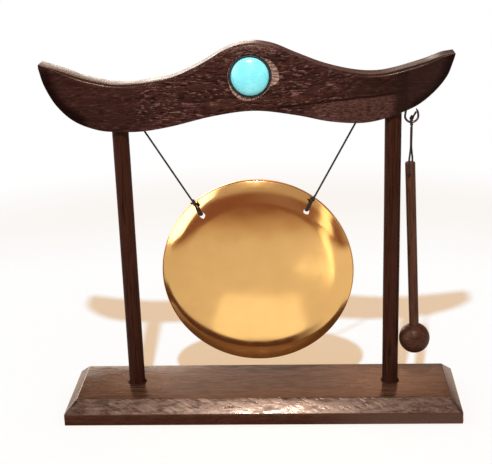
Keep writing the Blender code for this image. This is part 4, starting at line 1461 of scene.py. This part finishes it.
@dataclass
class Gong:
    """The spun brass gong with its rounded shoulder and two cord holes."""

    radius: float = 0.0511
    x: float = -0.0013
    z: float = 0.0756
    sheet: float = 0.0008
    crown: float = 0.0015
    shoulder_width: float = 0.016
    shoulder_depth: float = 0.006
    turn: float = math.radians(1.4)
    hole_radius: float = 0.0015
    hole_inset: float = 0.0076
    hole_spread: float = math.radians(38.6)
    rim_slope: float = math.radians(28.0)
    rim_bend: float = 0.0012
    segments: int = 288
    dent: float = 0.00006

    def start(self) -> float:
        """Return the angle at which the face runs into the shoulder."""
        slope = 2.0 * self.crown / (self.radius - self.shoulder_width)
        return math.atan(slope * self.shoulder_width / self.shoulder_depth)

    def shoulder_point(self, turn: float) -> Pair:
        """Return (radius, depth) on the shoulder's outside; 90 degrees is its back edge."""
        return (self.radius - self.shoulder_width + self.shoulder_width * math.sin(turn),
                self.crown + self.shoulder_depth * (math.cos(self.start()) - math.cos(turn)))

    def shoulder_normal(self, turn: float) -> Vector:
        """Return the outward normal on the shoulder's outside, as (radius, depth)."""
        return Vector((math.sin(turn) / self.shoulder_width, -math.cos(turn) / self.shoulder_depth)).normalized()

    def section(self, inset: float, face_steps: int, end: float, shoulder_steps: int) -> list[Pair]:
        """Draw the sheet's section from the centre over the face and the shoulder.

        Args:
            inset: how far inside the outer skin the section lies.
            face_steps: how many points the face has.
            end: the angle at which the section ends on the shoulder.
            shoulder_steps: how many spans the shoulder has.

        Returns:
            (radius, depth) pairs.
        """
        flat = self.shoulder_point(self.start())[0]
        points = [(flat * share, self.crown * share * share + inset)
                  for share in spread(0.0, 1.0, face_steps)[:-1]]
        for turn in spread(self.start(), end, shoulder_steps):
            radius, depth = self.shoulder_point(turn)
            normal = self.shoulder_normal(turn)
            points.append((radius - inset * normal.x, depth - inset * normal.y))
        return points

    def spun(self, inset: float) -> list[Pair]:
        """Draw the finished section, whose rim turns back at once where the shoulder is steep.

        Args:
            inset: how far inside the outer skin the section lies.

        Returns:
            (radius, depth) pairs.
        """
        steep = math.atan(math.tan(self.rim_slope) * self.shoulder_width / self.shoulder_depth)
        points = self.section(inset, 30, steep, 24)
        radius, depth = self.shoulder_point(steep)
        bend = self.rim_bend - inset
        side = self.radius - self.rim_bend
        low = depth + (side + self.rim_bend * math.sin(self.rim_slope) - radius) * math.tan(self.rim_slope)
        centre = low + self.rim_bend * math.cos(self.rim_slope)
        for turn in spread(self.rim_slope, QUARTER, 8):
            points.append((side + bend * math.sin(turn), centre - bend * math.cos(turn)))
        points.append((side + bend, self.shoulder_point(QUARTER)[1]))
        return points

    def front(self) -> float:
        """Reckon the face's Y, which puts the disc's centre of mass on the cords' plane.

        Returns:
            The face's Y.
        """
        area = moment = 0.0
        middle = self.section(self.sheet / 2.0, 3, QUARTER, 8)
        for (r1, d1), (r2, d2) in zip(middle, middle[1:]):
            strip = math.hypot(r2 - r1, d2 - d1) * (r1 + r2)
            area += strip
            moment += strip * (d1 + d2) / 2.0
        return -moment / area

    def on_disc(self, radius: float, turn: float, depth: float) -> Vector:
        """Return a point at a radius, a turn from straight up and a depth behind the front."""
        return Vector((self.x + radius * math.sin(turn), self.front() + depth, self.z + radius * math.cos(turn)))

    def hole_turn(self, side: int) -> float:
        """Return the turn from straight up of one cord hole; side is -1 or 1."""
        return side * self.hole_spread - self.turn

    def hammered(self, place: Vector) -> float:
        """Reckon how far the sheet stands back from its true form.

        Args:
            place: a place on the sheet.

        Returns:
            The distance.
        """
        spot = Vector(((place.x - self.x) * 1000.0, (place.z - self.z) * 1000.0, 0.0))
        return self.dent * (noise.noise(spot * 0.045 + UP * 4.0) + 0.30 * noise.noise(spot * 0.11 + UP * 9.0))

    def disc(self) -> Solid:
        """Build the disc with its two holes.

        Returns:
            The disc.
        """
        outside, inside = self.spun(0.0), self.spun(self.sheet)
        outer, inner = Vector(outside[-1]), Vector(inside[-1])
        half = (outer - inner) / 2.0
        lip = []
        for turn in spread(0.0, math.pi, 6)[1:-1]:
            spot = (outer + inner) / 2.0 + half * math.cos(turn)
            lip.append((spot.x, spot.y - half.length * 0.35 * (1.0 - math.sin(turn))))
        place = Matrix.Translation((self.x, self.front(), self.z)) @ Matrix.Rotation(math.radians(-90.0), 4, "X")
        bm = turned_mesh(outside + lip + inside[::-1], self.segments, place)
        for corner in bm.verts:
            corner.co.y += self.hammered(corner.co)
        disc = to_object("gong_finished", bm, 40.0)
        radius = self.radius - self.hole_inset
        return cut_away(disc, [rod("punch", self.on_disc(radius, self.hole_turn(side), -0.003),
                                   self.on_disc(radius, self.hole_turn(side), 0.006), self.hole_radius, 40)
                               for side in (-1, 1)], 40.0)

    def build(self) -> None:
        """Build and dress the disc."""
        settle(self.disc(), Body.GONG, Slot.BRASS, SatinBrass().make(), "gong_disc")


# ---------------------------------------------------------------- cords


@dataclass
class Rope:
    """A three-ply twisted cord that is swept along a route."""

    radius: float = 0.0005
    plies: int = 3
    pitch: float = 0.0021
    step: float = 0.00014
    corners: int = 18
    groove: float = 0.26

    def sweep(self, name: str, route: Sequence[Vector], first: float = 1.0, last: float = 1.0,
              twist: float = 0.0) -> tuple[Solid, list[Vector]]:
        """Sweep the cord along a route.

        Args:
            name: the object's name.
            route: the places that it passes through.
            first: the size of its first end, as a share of the full radius.
            last: the size of its last end.
            twist: the turn in radians at which the plies start.

        Returns:
            The cord and the points of its centreline.
        """
        path = even_path(route, self.step)
        count = len(path) - 1

        def radius(k: int, turn: float) -> float:
            """Form the lobes of the plies, smaller at the two ends.

            Args:
                k: the point's number on the path.
                turn: the turn round the cord in radians.

            Returns:
                The radius.
            """
            lay = turn - twist - 2.0 * math.pi * k * self.step / self.pitch
            lobe = abs(((lay * self.plies / (2.0 * math.pi)) % 1.0) - 0.5) * 2.0
            size = 1.0
            if k < 3:
                size = first + (1.0 - first) * k / 3.0
            if count - k < 3:
                size = last + (1.0 - last) * (count - k) / 3.0
            return self.radius * size * (1.06 - self.groove * (1.0 - lobe) ** 1.6)

        return swept(name, path, radius, self.corners), path

    def tie(self, name: str, *runs: tuple) -> Solid:
        """Sweep several runs of cord, each with the arguments of sweep after its name, and join them."""
        return joined(name, [self.sweep("run", *run)[0] for run in runs])

    def coil(self, centre: Vector, axis: Vector, radius: float, turns: float, rise: float,
             start: float) -> list[Vector]:
        """Lay out the turns of a knot.

        Args:
            centre: the knot's middle.
            axis: the way that the turns run round.
            radius: the turns' radius.
            turns: how many there are.
            rise: how far they climb along the axis.
            start: the turn in radians at which they start.

        Returns:
            The points of the helix.
        """
        axis = axis.normalized()
        side = axis.orthogonal().normalized()
        up = axis.cross(side)
        points = []
        for share in spread(0.0, 1.0, max(8, int(turns * 12))):
            turn = start + 2.0 * math.pi * turns * share
            out = (side * math.cos(turn) + up * math.sin(turn)) * radius
            points.append(centre + axis * (rise * (share - 0.5)) + out)
        return points


@dataclass
class GongCords:
    """The two cords that hold the gong, their knots and nooses, and their hidden ends."""

    gong: Gong
    rope: Rope = field(default_factory=Rope)
    knots: tuple[Triple, Triple] = ((-0.03302, 0.0, 0.11515), (0.02847, 0.0, 0.11664))
    tails: tuple[Triple, Triple] = ((-0.0021, -0.0002, 0.0007), (-0.0007, -0.0009, 0.0016))
    knot_radius: float = 0.0012
    strand_gap: float = 0.0006

    def noose_route(self, side: int, knot: Vector) -> list[Vector]:
        """Lay out the noose: over the shoulder, through the hole and back round the rim.

        Args:
            side: -1 for the left one and 1 for the right one.
            knot: the knot's centre.

        Returns:
            The places that it passes through.
        """
        gong = self.gong
        lift = self.rope.radius + GAP
        knot_angle = math.atan2(knot.x - gong.x, knot.z - gong.z)
        through_r = gong.radius - gong.hole_inset + gong.hole_radius - lift
        through = math.asin(min(1.0, (through_r - gong.radius + gong.shoulder_width) / gong.shoulder_width))
        back = gong.crown + gong.shoulder_depth * math.cos(gong.start())
        behind = -gong.sheet - lift

        def blend(share: float) -> float:
            """Return the turn round the disc a share of the way from the knot to the hole."""
            return knot_angle + (gong.hole_turn(side) - knot_angle) * share

        def over(turn: float, share: float, off: float) -> Vector:
            """Find a place off the shoulder's skin.

            Args:
                turn: the angle on the shoulder's section.
                share: how far round the disc it lies, from the knot to the hole.
                off: how far it stands off the outer skin.

            Returns:
                The place.
            """
            radius, depth = gong.shoulder_point(turn)
            normal = gong.shoulder_normal(turn)
            return gong.on_disc(radius + off * normal.x, blend(share), depth + off * normal.y)

        entry = over(through + 0.05, 1.0, lift * 0.95)
        rim = [gong.on_disc(gong.radius + out, blend(share), back + lift * level) for out, share, level in (
            (-gong.sheet - lift * 0.85, 0.75, 0.7), (-gong.sheet * 0.45, 0.65, 1.12), (lift * 0.8, 0.55, 0.75),
            (lift * 1.05, 0.45, -0.5))]
        return [knot, knot.lerp(entry, 0.35), knot.lerp(entry, 0.7), entry,
                over(through - 0.01, 1.0, -gong.sheet * 0.5),
                over(through + 0.03, 1.0, behind - lift * 0.4),
                over(math.radians(60.0), 0.9, behind - lift * 0.2),
                *rim, rim[-1].lerp(knot, 0.35), rim[-1].lerp(knot, 0.7), knot]

    def noose(self, name: str, side: int, mouth: Vector, knot: Vector, tail: Vector) -> Solid:
        """Build one noose: its loop, its second strand to the hole, its knot and its short loose tail.

        Args:
            name: the piece's name.
            side: -1 for the left one and 1 for the right one.
            mouth: where the cord leaves the crossbeam.
            knot: the knot's centre.
            tail: the way and length of the loose end.

        Returns:
            The joined noose.
        """
        front = Vector((0.0, -1.0, 0.0))
        loop = self.noose_route(side, knot)
        beside = (loop[3] - loop[0]).cross(front).normalized()
        second = [place + beside * (self.strand_gap * min(1.0, k / 2.0)) for k, place in enumerate(loop[:7])]
        pull = (mouth - knot).normalized()
        across = front.cross(pull).normalized()
        loose = [knot, knot + tail * 0.45 + Vector((0.0, -0.0002, 0.0003)), knot + tail * 0.8, knot + tail]
        return self.rope.tie(name, (loop,), (second, 0.8, 0.8, 1.0),
                             (self.rope.coil(knot, pull, 0.00052, 2.2, 0.0012, 0.6 * side), 0.5, 0.5),
                             (self.rope.coil(knot, across + pull * 0.5, 0.00050, 0.8, 0.0004, 1.0), 0.6, 0.6),
                             (loose, 1.0, 0.8))

    def build(self) -> None:
        """Build and dress both cords."""
        finish = TWISTED_CORD.make()
        for side, name, mouth, knot, tail in zip((-1, 1), ("left", "right"), MOUTHS, self.knots, self.tails):
            mouth, knot = Vector(mouth), Vector(knot)
            noose = self.noose(name + "_noose", side, mouth, knot, Vector(tail))
            settle(noose, Body.GONG, Slot.CORD, finish, name + "_loop")
            pull = (knot - mouth).normalized()
            start = mouth + pull * GAP
            end = knot - pull * (self.knot_radius * 0.72)
            cord, path = self.rope.sweep(name + "_gong_cord", [start.lerp(end, k / 16.0) for k in range(17)])
            settle(cord, Body.CORDS, Slot.CORD, finish, name + "_cord")
            path_length(path)
            [tuple(p) for p in path[::4] + [path[-1]]]
            dress(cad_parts[name + "_cord_anchor"], finish)


@dataclass
class MalletCord:
    """The mallet's cord: a hitch on the hook and a strand that runs through the stick and back."""

    rope: Rope = field(default_factory=Rope)
    low: Triple = (0.0785, 0.0, 0.15682)
    knot_drop: Triple = (0.0001, 0.0, -0.0010)
    spacing: float = 0.0013
    join: float = 0.0145

    def hitch(self) -> Solid:
        """Build the hitch: turns round the hook's wire, a knot in the ring and a short end.

        Returns:
            The joined hitch.
        """
        rope = self.rope
        wrap = WIRE_RADIUS + GAP + rope.radius + 0.00002
        lean = Vector((0.5, 0.0, 0.87)).normalized()
        middle = Vector(HOOK_CENTRE) + Vector(self.knot_drop)
        start = middle + lean * 0.0004
        out = Vector((0.0, -0.0013, 0.0))
        return rope.tie("mallet_hitch_finished",
                        (rope.coil(Vector(self.low), Vector((1.0, 0.0, 0.0)), wrap, 1.9, 0.0009, 0.9), 0.6, 0.6),
                        (rope.coil(middle, lean, 0.00055, 2.6, 0.0017, 0.3), 0.6, 0.6),
                        ([start] + [start + lean * reach + out for reach in (0.0011, 0.0024, 0.0036)], 1.0, 0.8))

    def strand_route(self) -> list[Vector]:
        """Lay out the cord: down from the hitch, through the stick and up again.

        Returns:
            The places that it passes through.
        """
        pivot = Vector(MALLET_PIVOT)
        start = Vector(self.low) - UP * (WIRE_RADIUS + 2.0 * self.rope.radius + 2.0 * GAP)
        clear = STICK_RADIUS + self.rope.radius + GAP
        narrow = self.spacing / 2.0
        above = start.z - pivot.z
        down = []
        for height, share in ((above, 0.0), (above * 0.8, 0.0), (self.join, 0.0), (self.join * 0.76, 0.4),
                              (self.join * 0.52, 0.94), (self.join * 0.3, 1.0), (0.0014, 1.0), (0.0004, 0.93)):
            drift = start.lerp(pivot, 1.0 - height / above)
            down.append((Vector((drift.x, 0.0, pivot.z + height)), narrow + (clear - narrow) * share))
        return ([place - CROSS_WAY * off for place, off in down]
                + [pivot - CROSS_WAY * (clear * 0.55), pivot + CROSS_WAY * (clear * 0.55)]
                + [place + CROSS_WAY * off for place, off in reversed(down)])

    def build(self) -> None:
        finish = MALLET_CORD.make()
        hitch = settle(self.hitch(), Body.HITCH, Slot.CORD, finish, "mallet_hitch")
        cord, path = self.rope.sweep("mallet_strand", self.strand_route())
        settle(cord, Body.STRANDS, Slot.CORD, finish, "mallet_cord")
        path_length(path)
        [tuple(p) for p in path[::3] + [path[-1]]]


# ---------------------------------------------------------------- the mallet


@dataclass
class Mallet:
    """The tapered stick with its cross hole, and the turned ball that it is glued into."""

    ball: Triple = (0.0821, 0.0, 0.0380)
    end_radius: float = 0.00255
    ease: float = 0.0005
    ball_radius: float = 0.0082
    bore_depth: float = 0.008
    below_top: float = 0.0062
    cross_hole_radius: float = 0.00095
    line_depth: float = 0.00005
    uneven: float = 0.00004

    def stick(self, bottom: Vector) -> Solid:
        """Build the stick, softly rounded at its top.

        Args:
            bottom: the middle of its lower end.

        Returns:
            The stick.
        """
        pivot = Vector(MALLET_PIVOT)
        shoulder = (pivot - bottom).length + self.below_top - self.ease
        profile = [(self.end_radius + (STICK_RADIUS - self.end_radius) * share, shoulder * share)
                   for share in spread(0.0, 1.0, 30)]
        for turn in spread(0.0, QUARTER, 4)[1:]:
            profile.append((STICK_RADIUS - self.ease * (1.0 - math.cos(turn)),
                            shoulder + self.ease * math.sin(turn)))

        def wobble(turn: float, height: float) -> float:
            """Return the stick's unevenness."""
            return self.uneven * lumps(turn, 1.0, height * 55.0)

        stick = turned("mallet_stick_finished", profile, 48, along(bottom, pivot), wobble)
        reach = CROSS_WAY * (STICK_RADIUS + 0.001)
        return cut_away(stick, [rod("cross_hole", pivot - reach, pivot + reach, self.cross_hole_radius, 24)])

    def head(self, bottom: Vector) -> Solid:
        """Build the turned ball with its bore and a faint turning line.

        Args:
            bottom: the middle of the stick's lower end.

        Returns:
            The ball.
        """
        ball, pivot = Vector(self.ball), Vector(MALLET_PIVOT)
        up = (pivot - ball).normalized()
        profile = []
        for turn in spread(-QUARTER, QUARTER, 64):
            radius = self.ball_radius - self.line_depth * math.exp(-((math.degrees(turn) + 9.0) / 2.2) ** 2)
            profile.append((radius * math.cos(turn), radius * math.sin(turn)))
        profile[0], profile[-1] = (0.0, -self.ball_radius), (0.0, self.ball_radius)
        head = turned("mallet_head_finished", profile, 96, along(ball, pivot))
        bore = rod("bore", bottom - up * GAP, ball + up * (self.ball_radius + 0.001), self.end_radius + GAP)
        return cut_away(head, [bore])

    def build(self) -> None:
        """Build and dress the mallet."""
        ball = Vector(self.ball)
        bottom = ball + (Vector(MALLET_PIVOT) - ball).normalized() * (self.ball_radius - self.bore_depth + GAP)
        settle(self.stick(bottom), Body.MALLET, Slot.MALLET_WOOD, MALLET_WOOD.make(), "mallet_stick")
        settle(self.head(bottom), Body.MALLET, Slot.MALLET_WOOD, HEAD_WOOD.make(), "mallet_head")


# ---------------------------------------------------------------- the whole piece


def write_sizes() -> None:
    bpy.context.view_layer.update()


def main() -> None:
    """Build the studio and every piece of the tam-tam, in the order of assembly."""
    logging.basicConfig(level=logging.INFO, format="%(name)s: %(message)s")
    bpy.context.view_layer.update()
    Studio().build()
    gong = Gong()
    for part in (GongCords(gong), MalletCord(), BaseBoard(), PostPair(), Crossbeam(), StoneSetting(), ScrewHook(),
                 gong, Mallet()):
        part.build()
    write_sizes()


if __name__ == "__main__":
    main()
